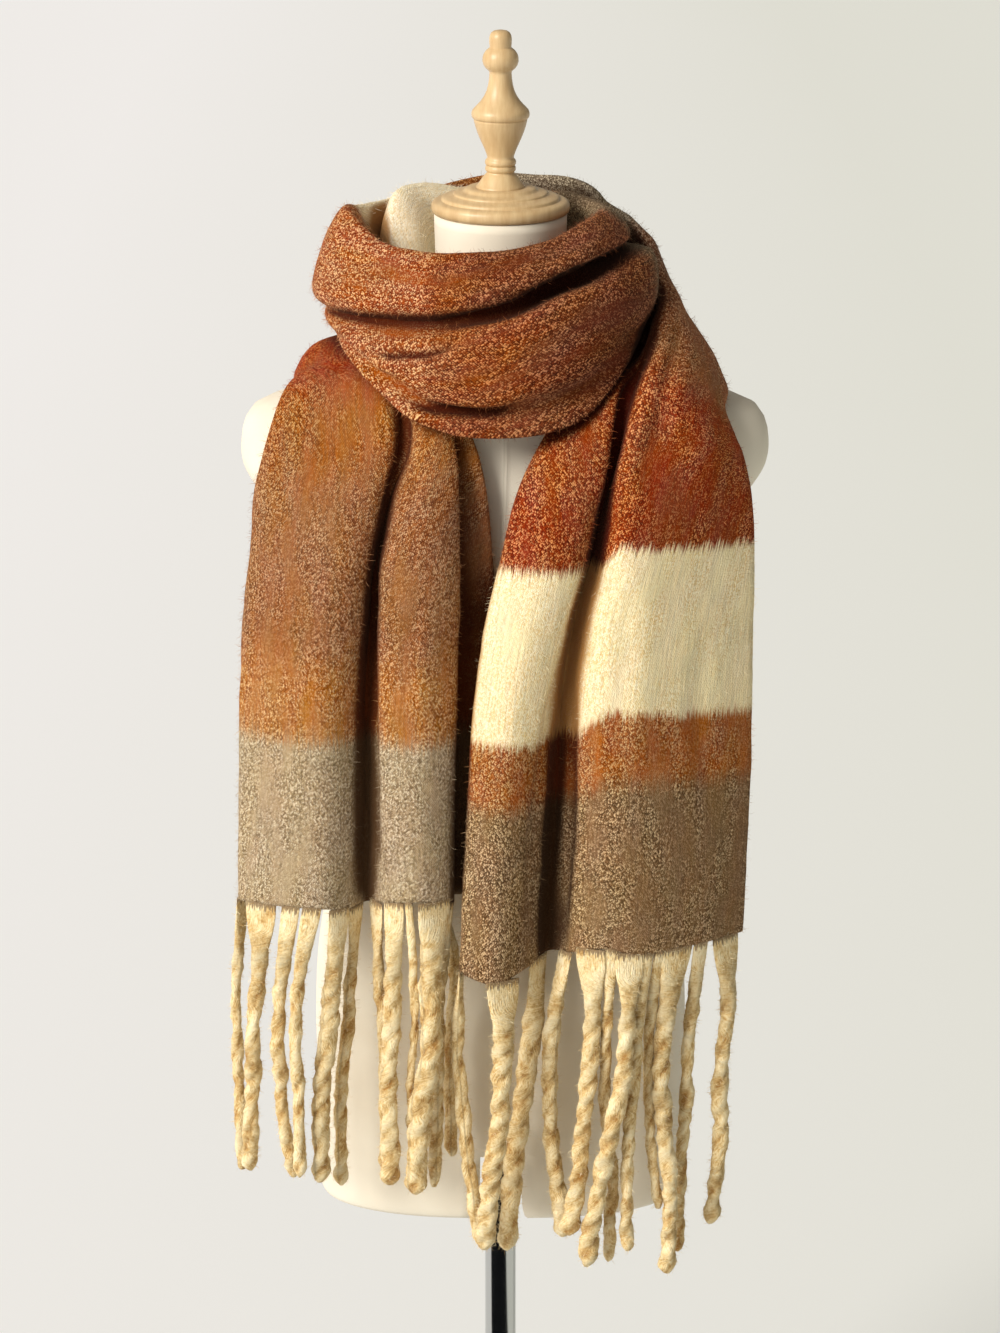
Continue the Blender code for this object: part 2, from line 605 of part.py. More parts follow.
def turned(name, profile, material, around=(0.0, 0.0, 0.0), count=32):
    """A piece turned on a lathe: (radius, height) pairs from the axis back to the axis."""
    points = []
    rings = []
    for radius, height in profile:
        if radius == 0:
            rings.append([len(points)])
            points.append(Vector((around[0], around[1], around[2] + height * MM)))
            continue
        ring = []
        for k in range(count):
            angle = 2 * math.pi * k / count
            ring.append(len(points))
            points.append(Vector((
                around[0] + radius * MM * math.cos(angle),
                around[1] + radius * MM * math.sin(angle),
                around[2] + height * MM,
            )))
        rings.append(ring)
    faces = []
    for lower, upper in zip(rings, rings[1:]):
        for k in range(count):
            n = (k + 1) % count
            if len(lower) == 1:
                faces.append((lower[0], upper[k], upper[n]))
            elif len(upper) == 1:
                faces.append((lower[k], lower[n], upper[0]))
            else:
                faces.append((lower[k], lower[n], upper[n], upper[k]))
    return make_object(name, points, faces, material)


def main():
    clear_scene()
    cloth = make_material("scarf_wool", (0.42, 0.13, 0.06), 0.95)
    yarn = make_material("fringe_yarn", (0.86, 0.76, 0.56), 0.95)
    linen = make_material("form_linen", (0.83, 0.79, 0.71), 0.9)
    wood = make_material("turned_wood", (0.80, 0.66, 0.42), 0.5)
    metal = make_material("stand_metal", (0.55, 0.55, 0.56), 0.25, 1.0)

    sheet = Sheet()
    build_cloth(sheet, cloth)
    build_fringe("fringe_left", sheet.row_at(0.0, ACROSS_STEPS), LEFT_TASSELS, yarn)
    build_fringe("fringe_right", sheet.row_at(len(sheet.rows) - 1.0, ACROSS_STEPS), RIGHT_TASSELS, yarn)

    build_body(linen)
    rim = (0.0, 0.0, CAP_UNDERSIDE)
    turned("neck_cap", CAP_PROFILE, wood, rim, 32)
    turned("finial", FINIAL_PROFILE, wood, rim, 16)

    base = ((0, 0), (148, 0), (150, 2), (150, 6.5), (146, BASE_HEIGHT), (0, BASE_HEIGHT))
    turned("stand_base", base, metal, (0, 0, 0), 48)
    low = BASE_HEIGHT + SEAM_GAP
    top = low + COLLAR_HEIGHT
    collar = ((0, low), (COLLAR_RADIUS, low), (COLLAR_RADIUS, top - 3), (COLLAR_RADIUS - 3, top), (0, top))
    turned("stand_collar", collar, metal, (0, 0, 0), 28)
    pole_low = top + SEAM_GAP
    pole_top = CAP_UNDERSIDE / MM + CROTCH_HEIGHT + CROTCH_ARCH - SEAM_GAP
    pole = ((0, pole_low), (POLE_RADIUS, pole_low), (POLE_RADIUS, pole_top), (0, pole_top))
    turned("stand_pole", pole, metal, (0, 0, 0), 24)


main()
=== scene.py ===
import math

import bmesh
import bpy
import numpy as np
from mathutils.bvhtree import BVHTree
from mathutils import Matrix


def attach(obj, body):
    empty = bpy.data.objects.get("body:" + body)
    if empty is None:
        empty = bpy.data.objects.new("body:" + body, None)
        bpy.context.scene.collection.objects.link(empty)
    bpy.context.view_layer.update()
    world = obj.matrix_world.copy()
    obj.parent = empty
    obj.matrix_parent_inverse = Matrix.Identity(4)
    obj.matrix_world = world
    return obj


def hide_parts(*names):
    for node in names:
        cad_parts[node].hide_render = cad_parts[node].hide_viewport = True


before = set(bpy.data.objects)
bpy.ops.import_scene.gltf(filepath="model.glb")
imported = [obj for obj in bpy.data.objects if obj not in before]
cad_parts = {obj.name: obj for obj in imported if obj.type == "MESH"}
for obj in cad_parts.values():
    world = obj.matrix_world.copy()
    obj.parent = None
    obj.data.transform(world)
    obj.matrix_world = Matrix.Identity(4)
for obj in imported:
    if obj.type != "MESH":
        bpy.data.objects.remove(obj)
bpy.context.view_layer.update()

mm = 0.001
capUnderside = 1.290  # metres above the floor; heights in the tables are millimetres from here


def table(keys, *rows):
    # one dictionary for each row of figures, under the names in keys
    return [dict(zip(keys.split(), row)) for row in rows]


def linear(code):
    values = [int(code[i:i + 2], 16) / 255 for i in (1, 3, 5)]
    return [v / 12.92 if v <= 0.04045 else ((v + 0.055) / 1.055) ** 2.4 for v in values] + [1.0]


def setInputs(tree, node, inputs):
    # a socket is linked, a node by its first live output, and a hex colour is turned to linear
    for name, value in inputs.items():
        if isinstance(value, bpy.types.Node):
            value = next(socket for socket in value.outputs if socket.enabled)
        if isinstance(value, bpy.types.NodeSocket):
            tree.links.new(value, node.inputs[name])
        elif isinstance(value, str) and value.startswith("#"):
            node.inputs[name].default_value = linear(value)
        else:
            node.inputs[name].default_value = value


def addNode(tree, kind, settings=None, inputs=None, stops=()):
    node = tree.nodes.new(kind)
    for name, value in (settings or {}).items():
        setattr(node, name, value)
    setInputs(tree, node, inputs or {})
    for i, (position, colour) in enumerate(stops):
        ramp = node.color_ramp.elements
        if i == 0:
            ramp.remove(ramp[1])
            ramp[0].position = position
        stop = ramp.new(position) if i else ramp[0]
        stop.color = linear(colour)
    return node


def newMaterial(name, inputs):
    material = bpy.data.materials.new(name)
    material.use_nodes = True
    tree = material.node_tree
    shader = tree.nodes["Principled BSDF"]
    setInputs(tree, shader, inputs)
    return material, tree, shader


# settings that several nodes share
sumOf = {"operation": "ADD"}
product = {"operation": "MULTIPLY"}
productPlus = {"operation": "MULTIPLY_ADD"}
softStep = {"interpolation_type": "SMOOTHSTEP"}
colourMix = {"data_type": "RGBA"}
colourProduct = {"data_type": "RGBA", "blend_type": "MULTIPLY"}


def stretchedNoise(tree, vector, stretch, detail, roughness=0.5, dimensions="2D", scale=1):
    mapped = addNode(tree, "ShaderNodeMapping", inputs={"Vector": vector, "Scale": stretch})
    return addNode(tree, "ShaderNodeTexNoise", {"noise_dimensions": dimensions},
                   {"Vector": mapped, "Scale": scale, "Detail": detail, "Roughness": roughness})


def hashed(cells, seed):
    x, y, z = np.moveaxis(cells, -1, 0)
    mixed = x * 374761393 + y * 668265263 + z * 2147483647 + seed * 974711
    mixed = (mixed ^ (mixed >> 13)) * 1274126177
    mixed = mixed ^ (mixed >> 16)
    return (mixed & 0xFFFFF) / 0xFFFFF * 2 - 1


def lumps(points, cell, seed):
    # smooth random values from -1 to 1 in cells of the given size
    scaled = np.asarray(points, dtype=float) / cell
    base = np.floor(scaled).astype(np.int64)
    part = scaled - base
    part = part * part * (3 - 2 * part)
    total = np.zeros(scaled.shape[:-1])
    for corner in np.ndindex(2, 2, 2):
        weight = 1
        for axis, far in enumerate(corner):
            weight = weight * (part[..., axis] if far else 1 - part[..., axis])
        total += weight * hashed(base + np.array(corner), seed)
    return total


def smoothstep(low, high, value):
    t = np.clip((np.asarray(value, dtype=float) - low) / (high - low), 0, 1)
    return t * t * (3 - 2 * t)


def curveWeights(t):
    # weights of the start, the slope there, the end and the slope there
    return 2 * t ** 3 - 3 * t ** 2 + 1, t ** 3 - 2 * t ** 2 + t, -2 * t ** 3 + 3 * t ** 2, t ** 3 - t ** 2


def smoothAt(knots, values, index, t):
    # on a smooth curve through the values, the share t of the way from one knot to the next
    slopes = np.gradient(values, knots)
    span = knots[index + 1] - knots[index]
    a, b, c, d = curveWeights(t)
    return (a * values[index] + b * span * slopes[index]
            + c * values[index + 1] + d * span * slopes[index + 1])


def smoothThrough(knots, values, at):
    knots = np.asarray(knots, dtype=float)
    index = np.clip(np.searchsorted(knots, at, side="right") - 1, 0, len(knots) - 2)
    t = (at - knots[index]) / (knots[index + 1] - knots[index])
    return smoothAt(knots, np.asarray(values, dtype=float), index, t)


def bridge(lower, upper):
    # faces between two closed rings of points
    return list(zip(lower, lower[1:] + lower[:1], upper[1:] + upper[:1], upper))


def addObject(name, data):
    made = bpy.data.objects.new(name, data)
    bpy.context.scene.collection.objects.link(made)
    return made


def placePiece(name, mesh, nodes=()):
    piece = addObject(name, mesh)
    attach(piece, "root")
    if nodes:
        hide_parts(*nodes)
    return piece


def makePiece(name, points, faces, material, nodes, sharp=None):
    mesh = bpy.data.meshes.new(name)
    mesh.from_pydata(np.asarray(points, dtype=float).tolist(), [], [tuple(face) for face in faces])
    mesh.materials.append(material)
    shape = bmesh.new()
    shape.from_mesh(mesh)
    bmesh.ops.recalc_face_normals(shape, faces=shape.faces)
    if shape.calc_volume(signed=True) < 0:
        bmesh.ops.reverse_faces(shape, faces=shape.faces)
    shape.to_mesh(mesh)
    shape.free()
    mesh.polygons.foreach_set("use_smooth", [True] * len(mesh.polygons))
    if sharp:
        mesh.set_sharp_from_angle(angle=math.radians(sharp))
    return placePiece(name, mesh, nodes)


def addFacts(piece, name, values):
    piece.data.attributes.new(name, "FLOAT", "POINT").data.foreach_set("value", np.asarray(values).ravel())


def addMap(piece, name, flat):
    corner = np.empty(len(piece.data.loops), dtype=np.int32)
    piece.data.loops.foreach_get("vertex_index", corner)
    piece.data.uv_layers.new(name=name).data.foreach_set("uv", flat[corner].ravel())


view = {
    "place": (-0.0004, -3.08, 1.9035),    # metres
    "tilt": 72.5,             # degrees up from straight down
    "lens": 112.19,           # mm, for a sensor 36 mm wide
    "farthest": 200,          # metres
}
studio = {
    # painted light on the floor: lighter on the viewer's left, darker to the right
    "floorPaintedLightLeft": "#F8F9FD",
    "floorPaintedShadeRight": "#E7EAE6",
    "floorReach": 70,         # metres from the middle to each edge
    "sunStrength": 3.80,
    "sunColour": "#FFFAF2",
    "sunSize": 30,            # degrees, a broad soft source
    "sunFrom": (-0.82, -0.66, 0.62),
    "skyColour": "#F6F1E8",
    "skyLeft": 0.52,
    "skyRight": 0.11,
    "skyFront": 0.10,
    "flatEdges": (-1.25, 0.62, -6.0, -0.25),    # left, right, near and far, in metres
    "flatColour": "#15171A",
}


def addCamera():
    data = bpy.data.cameras.new("view")
    data.lens = view["lens"]
    data.sensor_width = 36
    data.clip_end = view["farthest"]
    camera = addObject("view", data)
    camera.location = view["place"]
    camera.rotation_euler = (math.radians(view["tilt"]), 0, 0)
    bpy.context.scene.camera = camera


def addLevel(name, left, right, near, far, height, material):
    mesh = bpy.data.meshes.new(name)
    corners = ((left, near, height), (right, near, height), (right, far, height), (left, far, height))
    mesh.from_pydata(corners, [], [(0, 1, 2, 3)])
    mesh.materials.append(material)
    return addObject(name, mesh)


def addStudio():
    scene = bpy.context.scene
    scene.view_settings.view_transform = "Standard"
    # a dark flat on the floor that only mirrors in the polished metal
    felt = newMaterial("dark_flat_felt", {"Base Color": studio["flatColour"], "Roughness": 1.0,
                                          "Specular IOR Level": 0.0})[0]
    card = addLevel("dark_flat", *studio["flatEdges"], 2 * mm, felt)
    card.visible_camera = card.visible_diffuse = card.visible_shadow = False
    # the room is lighter on the viewer's left
    world = bpy.data.worlds.new("studio")
    scene.world = world
    world.use_nodes = True
    tree = world.node_tree
    where = addNode(tree, "ShaderNodeTexCoord")
    parts = addNode(tree, "ShaderNodeSeparateXYZ", inputs={0: where.outputs["Generated"]})
    glow = addNode(tree, "ShaderNodeMapRange", inputs={
        "Value": parts.outputs["X"], "From Min": -1, "From Max": 1,
        "To Min": studio["skyLeft"], "To Max": studio["skyRight"]})
    ahead = addNode(tree, "ShaderNodeMapRange", inputs={
        "Value": parts.outputs["Y"], "From Min": 0.2, "From Max": -1,
        "To Min": 0, "To Max": studio["skyFront"]})
    both = addNode(tree, "ShaderNodeMath", sumOf, {0: glow, 1: ahead})
    setInputs(tree, tree.nodes["Background"], {"Color": studio["skyColour"], "Strength": both})
    data = bpy.data.lights.new("window", "SUN")
    data.energy = studio["sunStrength"]
    data.angle = math.radians(studio["sunSize"])
    data.color = linear(studio["sunColour"])[:3]
    x, y, z = studio["sunFrom"]
    addObject("window", data).rotation_euler = (math.atan2(math.hypot(x, y), z), 0, math.atan2(x, -y))
    # matt painted floor, a little mottled, no gloss; painted light makes it lighter on the viewer's left
    # and darker to the right
    paint, tree, shader = newMaterial("matt_floor_paint", {"Roughness": 0.95, "Specular IOR Level": 0.05})
    where = addNode(tree, "ShaderNodeTexCoord").outputs["Object"]
    mottle = addNode(tree, "ShaderNodeTexNoise", inputs={"Vector": where, "Scale": 0.6, "Detail": 2})
    across = addNode(tree, "ShaderNodeSeparateXYZ", inputs={0: where})
    wander = addNode(tree, "ShaderNodeMath", productPlus, {0: mottle, 1: 0.2, 2: across.outputs["X"]})
    side = addNode(tree, "ShaderNodeMapRange", inputs={"Value": wander, "From Min": -0.9, "From Max": 1.0})
    tone = addNode(tree, "ShaderNodeValToRGB", inputs={"Fac": side},
                   stops=((0, studio["floorPaintedLightLeft"]), (1, studio["floorPaintedShadeRight"])))
    setInputs(tree, shader, {"Base Color": tone})
    reach = studio["floorReach"]
    addLevel("floor", -reach, reach, -reach, reach, 0, paint)


# Ten fold lines of the scarf, from the neck side to the outer side, at each section from the left hem up.
# Tails: height, place to the viewer's right and distance from the neck axis towards the front, negative.
leftTail = table(
    "height across out",
    ((-510, -510, -506, -500, -504, -512, -511, -507, -511, -512),
     (-5, -45, -37, -60, -86, -103, -117, -138, -199, -188),
     (-97, -97, -122, -140, -130, -106, -124, -136, -104, -84)),
    (-427, (-4, -44, -36, -60, -88, -102, -114, -137, -197, -187),
     (-98, -97, -123, -141, -131, -104, -125, -136, -102, -82)),
    (-347, (-3, -43, -34, -60, -90, -101, -111, -136, -195, -186),
     (-100, -98, -125, -142, -131, -105, -126, -136, -100, -80)),
    (-285, (-3, -42, -32, -58, -87, -97, -106, -133, -191, -183),
     (-103, -101, -127, -142, -131, -106, -127, -134, -96, -76)),
    (-239, (-6, -41, -31, -57, -83, -92, -101, -126, -186, -179),
     (-101, -102, -125, -138, -129, -105, -124, -129, -90, -72)),
    (-194, (-10, -39, -32, -54, -73, -81, -90, -117, -182, -175),
     (-94, -97, -116, -127, -119, -101, -115, -118, -84, -68)),
    (-160, (-18, -40, -34, -50, -61, -69, -77, -111, -174, -167),
     (-86, -87, -98, -103, -99, -88, -95, -93, -74, -64)),
    ((-130, -126, -120, -118, -117, -117, -114, -113, -124, -137),
     (-33, -44, -44, -54, -65, -72, -78, -108, -160, -162),
     (-80, -80, -85, -84, -80, -76, -72, -60, -52, -48)),
    ((-94, -84, -76, -80, -90, -98, -102, -102, -113, -128),
     (-59, -60, -65, -76, -81, -84, -95, -111, -148, -155),
     (-46, -46, -47, -51, -51, -48, -48, -45, -37, -27)),
)
# Round the neck: turn in degrees from the viewer's left, reach from the neck axis, height.
wraps = table(
    "turn reach height",
    (0, (57, 57, 66, 80, 85, 90, 106, 124, 139, 149), (-76, -56, -46, -44, -62, -82, -95, -96, -101, -117)),
    (20, (59, 59, 71, 86, 96, 94, 97, 100, 104, 104), (-72, -44, -8, 3, -22, -54, -80, -93, -99, -107)),
    (45, (60, 60, 73, 89, 98, 94, 95, 97, 101, 98), (-66, -34, 4, 9, -14, -42, -62, -80, -95, -107)),
    (90, (60, 58, 68, 84, 92, 88, 92, 94, 97, 95), (-62, -30, -3, -4, -26, -49, -66, -80, -94, -106)),
    (135, (60, 58, 68, 86, 92, 88, 92, 94, 97, 93), (-64, -26, 3, 0, -24, -46, -64, -79, -92, -101)),
    (180, (64, 62, 76, 96, 91, 112, 116, 108, 99, 88), (-62, -26, 3, -13, -25, -29, -57, -79, -90, -80)),
    (215, (62, 60, 75, 97, 76, 111, 118, 114, 114, 103), (-66, -32, 0, -15, -30, -38, -67, -84, -101, -97)),
    (240, (61, 59, 73, 98, 75, 109, 120, 110, 117, 105),
     (-72, -36, -9, -22, -36, -50, -94, -113, -134, -130)),
    (270, (60, 59, 73, 101, 87, 110, 120, 109, 116, 104),
     (-75, -40, -15, -40, -51, -70, -112, -126, -144, -141)),
    (296, (60, 60, 80, 105, 92, 112, 122, 116, 124, 112),
     (-74, -42, -17, -52, -63, -77, -106, -120, -135, -138)),
    (315, (71, 71, 88, 112, 99, 116, 126, 123, 128, 117),
     (-50, -36, -18, -55, -67, -77, -92, -101, -113, -116)),
    (333, (95, 91, 101, 126, 114, 124, 130, 129, 130, 119),
     (-48, -33, -14, -57, -68, -74, -79, -84, -91, -93)),
    (360, (101, 100, 116, 141, 129, 132, 131, 127, 119, 107),
     (-54, -26, 3, -59, -71, -76, -80, -84, -86, -80)),
    (380, (103, 101, 111, 133, 125, 128, 130, 127, 123, 115),
     (-58, -28, -2, -44, -62, -72, -81, -87, -94, -91)),
    (405, (104, 102, 109, 122, 121, 126, 131, 127, 127, 119),
     (-68, -34, -4, -22, -50, -72, -94, -108, -124, -131)),
    (450, (104, 103, 107, 118, 124, 122, 128, 131, 123, 113),
     (-74, -32, 8, -6, -34, -58, -82, -110, -138, -130)),
    (495, (104, 103, 106, 115, 121, 121, 128, 133, 129, 119),
     (-80, -40, 0, -12, -36, -60, -84, -106, -126, -121)),
    (520, (105, 108, 110, 114, 121, 128, 134, 143, 153, 151),
     (-106, -90, -50, -26, -27, -44, -64, -88, -108, -121)),
    (540, (98, 106, 114, 119, 120, 124, 131, 141, 159, 171),
     (-104, -104, -97, -82, -66, -61, -62, -80, -106, -132)),
    (556, (88, 98, 108, 116, 119, 124, 132, 144, 160, 175),
     (-99, -106, -106, -96, -80, -76, -78, -90, -113, -139)),
)
rightTail = table(
    "height across out",
    ((-112, -120, -122, -120, -118, -114, -110, -117, -134, -156),
     (55, 61, 73, 86, 94, 102, 113, 124, 150, 175), (-58, -66, -75, -78, -73, -77, -84, -86, -80, -66)),
    ((-159, -159, -159, -159, -159, -159, -159, -159, -161, -172),
     (33, 28, 52, 78, 84, 91, 98, 109, 147, 182), (-90, -99, -108, -103, -90, -100, -106, -103, -94, -66)),
    ((-193, -193, -193, -193, -193, -193, -193, -193, -194, -200),
     (19, 11, 38, 68, 76, 85, 95, 108, 148, 188),
     (-108, -119, -130, -123, -99, -115, -122, -119, -98, -66)),
    (-237, (10, 1, 28, 57, 68, 78, 90, 106, 148, 191),
     (-114, -127, -140, -132, -99, -121, -129, -127, -102, -69)),
    (-283, (-1, -10, 19, 44, 57, 69, 84, 102, 148, 191),
     (-115, -129, -143, -133, -98, -123, -131, -130, -104, -71)),
    (-345, (-10, -18, 8, 33, 47, 61, 79, 99, 147, 191),
     (-115, -129, -144, -131, -97, -122, -131, -131, -105, -73)),
    (-425, (-17, -24, 0, 24, 42, 59, 79, 102, 149, 191),
     (-115, -130, -144, -129, -96, -121, -132, -131, -105, -73)),
    (-490, (-19, -27, -4, 20, 39, 58, 79, 104, 150, 189),
     (-115, -130, -143, -128, -96, -120, -132, -131, -106, -74)),
    ((-562, -560, -566, -560, -556, -548, -541, -546, -547, -549),
     (-22, -30, -6, 17, 36, 56, 78, 104, 150, 187),
     (-114, -129, -142, -127, -97, -120, -131, -130, -106, -74)),
)
foldLines = 10
scarf = {
    "acrossSteps": 10,        # facets between two fold lines
    "rowSpacing": 3.6,        # mm between rows of the mesh
    "hiddenSpacing": 1.45,    # times that behind the neck
    "wall": 2.7,              # mm, cloth thickness
    "flat": (0.30, 2.05),     # metres, as it was cut
    "softWaves": 1.1,         # mm, lazy unevenness of brushed wool
    # painted shade at crease bottoms, and the reach of the rays that find closed-in folds for painted shade
    "creaseShade": 0.36,      # how closed a placed crease counts at its bottom
    "shutReach": 0.06,        # metres over which cloth closes in on a fold
    "shutClear": 0.0035,      # metres, so that a ray starts clear of its own wall
    "shutRays": 22,
    "sharpBend": 90,          # per metre, a bend this tight is rubbed bare
}

# Creases pressed into the cloth: (place along the cloth, fold line) pairs, then width, depth and the height
# of the lip beside it in mm, and how much painted shade darkens its bottom. Both ends fade out, unless it
# runs on to the hem.
creases = table(
    "path width depth lip shade toHem",
    (((19.4, 6.1), (18.95, 5.67), (18.4, 5.35), (17.85, 5.2), (17.4, 4.9)), 4.2, 5.6, 2.6),
    (((18.7, 7.35), (18.1, 7.3), (17.7, 7.1), (17.3, 6.95), (16.95, 6.85), (16.5, 6.4)), 4.6, 5, 2.2),
    (((18.1, 4.3), (17.3, 4.3), (16.7, 4.35), (16.2, 4.45), (15.4, 4.5), (14.9, 4.4)), 9, 5.5, 2.4),
    (((20.9, 2.1), (20.2, 2.4), (19.5, 2.3), (18.9, 2.6)), 7, 1.8, 0.6),
    (((16.6, 2.9), (16, 2.5), (15.2, 2.4)), 6, 1.5, 0.5),
    (((15.5, 5.9), (15, 6.6), (14.8, 7.3)), 6.5, 2, 0.8),
    # both walls of the open valley down each tail
    (((4.2, 5.2), (3.2, 4.6), (2.2, 4.4), (1.1, 4.35), (0, 4.4)), 8, 6, 0.5, 0.3),
    (((33.2, 3.3), (34.2, 3.15), (35.2, 3.1), (36.2, 3.1), (37, 3.1)), 7, 5, 0.4, 0),
    (((33.4, 4.6), (34.4, 4.7), (35.4, 4.7), (36.2, 4.65), (37, 4.6)), 7, 5, 0.4, 0.2),
    # and painted shade along the bottoms of both valleys, over a shallow dip, down to the hem
    (((3.6, 5.1), (2.6, 4.85), (1.4, 4.75), (0, 4.8)), 9, 0.8, 0, 0.9, True),
    (((33.7, 3.6), (34.5, 3.6), (35.4, 3.7), (36.2, 3.7), (37, 3.7)), 11, 0.8, 0, 1.1, True),
    # where the right tail leaves the shoulder, and down its front valley
    (((27.9, 4.4), (28.8, 4.3), (29.6, 4.1), (30.4, 4), (31.6, 4)), 8, 6, 1.5),
    (((27.2, 6.3), (28.2, 6.6), (29.2, 6.9), (30.4, 7.1)), 7, 2.4, 0.7),
    (((32.2, 6.4), (33.6, 6.6), (35.2, 6.5)), 8, 1.6, 0.5),
    (((33, 8.2), (34.2, 8), (35.6, 8.3)), 9, 1.8, 0.5),
    # the left tail
    (((8, 5.75), (7.2, 5.65), (6.4, 5.6), (5.5, 5.6), (4.4, 5.5)), 6.5, 5.5, 1),
    (((7.8, 7), (7.1, 7.3), (6.2, 7.4)), 8, 2.2, 0.8),
    (((4.4, 7.9), (3.1, 7.7), (1.9, 7.9)), 9, 1.8, 0.4),
    (((3.6, 3.1), (2.4, 3.3), (1.2, 3.1)), 7, 1.5, 0.4),
    # behind the neck and over the shoulders, lazier
    (((22.4, 4.4), (23.3, 4.7), (24.2, 4.5), (25.1, 4.9)), 7, 3.2, 1.2),
    (((22.9, 6.9), (23.9, 6.6), (24.8, 7.1), (25.6, 6.9)), 8, 2.8, 1),
    (((24.2, 2.2), (25, 2.5), (25.9, 2.3)), 6, 2, 0.7),
    (((10.2, 4.6), (11.2, 4.9), (12.3, 4.6), (13.2, 4.9)), 6, 2.2, 0.8),
    (((21.2, 7.4), (22, 7.9), (22.9, 7.8)), 7, 2.4, 0.9),
)
# Colour bands from the left hem to the right hem: place where the band ends, how far it melts into the
# next, then ground, fleck and shade colours of the yarn.
bands = table(
    "end melt ground fleck shade",
    (1.66, 0.06, "#AC9575", "#DECDB1", "#68533B"),
    (2.55, 0.7, "#AA6D35", "#DDB682", "#73370D"),
    (5.45, 0.9, "#935D37", "#C99F77", "#582B14"),
    (6.9, 0.7, "#9C5B29", "#CF9E69", "#632D0C"),
    (9.2, 0.15, "#95320D", "#D08654", "#611A03"),
    (11.9, 0.2, "#F1E5CA", "#FBF4E0", "#E2CB9E"),
    (12.7, 0.3, "#874820", "#C78F5F", "#52240B"),
    (14.3, 0.4, "#7A654E", "#BAA484", "#3E2D1B"),
    (16.6, 0.6, "#652D16", "#C5845C", "#3A1406"),
    (18.1, 0.8, "#7F3814", "#D18C59", "#4B1B06"),
    (21.55, 0.25, "#96471B", "#EEBB87", "#5E2009"),
    (23.2, 0.15, "#F1E5CA", "#FBF4E0", "#E2CB9E"),
    (24, 0.3, "#915127", "#D09A67", "#54260C"),
    (25.8, 0.4, "#80715F", "#BDAE96", "#3F3020"),
    (26.7, 0.4, "#835840", "#CBA588", "#401D10"),
    (28.6, 0.6, "#9A5E37", "#DEAB7F", "#5A280F"),
    (32.1, 0.03, "#8A310C", "#E49A64", "#541604"),
    (34.4, 0.04, "#F1E1B8", "#FCF3D6", "#E0C187"),
    (35, 0.22, "#A25B2A", "#D9AD7A", "#65290B"),
    (37.1, 0, "#846444", "#DCBC92", "#442E19"),
)
# How far ahead of the place the colours run on each fold line.
bandSlant = table(
    "place ahead",
    (13, (0,) * 10),
    (15, (0.2, 0.2, 0.2, 0.2, 0.1, 0, 0, 0.1, 0.2, 0.2)),
    (17.5, (-1, -1, -1, -0.9, -0.4, 0, 0, 0, 0, 0)),
    (18.7, (-0.1, -0.1, -0.1, -0.1, 0, 0, 0, 0, 0, 0)),
    (21, (0,) * 10),
    (30, (0,) * 10),
    (32, (-0.02, -0.02, -0.03, -0.05, -0.12, -0.05, 0.38, 0.32, 0.18, 0.05)),
    (35, (0, 0, 0, -0.03, -0.05, 0.05, 0.24, 0.22, 0.15, 0.08)),
    (36.7, (0,) * 10),
    (37, (0,) * 10),
)


def slopesAlong(points, knots):
    # slope at each point of a smooth curve; points (n, ..., 3), knots (n, ...)
    gaps = np.diff(knots, axis=0)
    steps = np.diff(points, axis=0) / gaps[..., None]
    slopes = np.empty_like(points)
    slopes[0] = steps[0]
    slopes[-1] = steps[-1]
    before = gaps[:-1][..., None]
    after = gaps[1:][..., None]
    slopes[1:-1] = (steps[:-1] * after + steps[1:] * before) / (before + after)
    return slopes


def pointsBetween(points, knots, slopes, places):
    index = np.clip(places.astype(int), 0, len(points) - 2)
    span = (knots[index + 1] - knots[index])
    span = span.reshape(span.shape + (1,) * (points.ndim - span.ndim))
    a, b, c, d = curveWeights((places - index).reshape((-1,) + (1,) * (points.ndim - 1)))
    return (points[index] * a + slopes[index] * (b * span)
            + points[index + 1] * c + slopes[index + 1] * (d * span))


def rowKnots(points):
    gaps = np.maximum(np.linalg.norm(np.diff(points, axis=0), axis=-1), 1e-6) ** 0.5
    return np.concatenate([np.zeros((1,) + gaps.shape[1:]), np.cumsum(gaps, axis=0)])


def foldTable():
    rows = []
    for row in leftTail + wraps + rightTail:
        heights = row["height"] if isinstance(row["height"], tuple) else (row["height"],) * foldLines
        if "turn" in row:
            angle = math.radians(-90 - row["turn"])
            rows.append([(r * math.sin(angle), -r * math.cos(angle), z)
                         for r, z in zip(row["reach"], heights)])
        else:
            rows.append(list(zip(row["across"], row["out"], heights)))
    return np.array(rows, dtype=float) * mm + np.array([0, 0, capUnderside])


class Cloth:
    def __init__(self):
        self.folds = foldTable()
        self.last = len(self.folds) - 1
        self.knots = rowKnots(self.folds.mean(axis=1))
        self.slopes = slopesAlong(self.folds, np.repeat(self.knots[:, None], foldLines, axis=1))
        # mean length of the cloth over each twentieth of a section
        self.fine = np.arange(0, self.last + 0.001, 0.05)
        self.lengths = np.linalg.norm(np.diff(self.foldsAt(self.fine), axis=0), axis=-1).mean(axis=1)

    def foldsAt(self, places):
        return pointsBetween(self.folds, self.knots, self.slopes, places)

    def rows(self, places, steps):
        lines = np.swapaxes(self.foldsAt(places), 0, 1)
        knots = rowKnots(lines)
        shares = np.arange((foldLines - 1) * steps + 1) / steps
        return np.swapaxes(pointsBetween(lines, knots, slopesAlong(lines, knots), shares), 0, 1)

    def shareOf(self, places):
        # share of the whole length, from the left hem
        share = np.concatenate([[0], np.cumsum(self.lengths)])
        return np.interp(places, self.fine, share / share[-1])


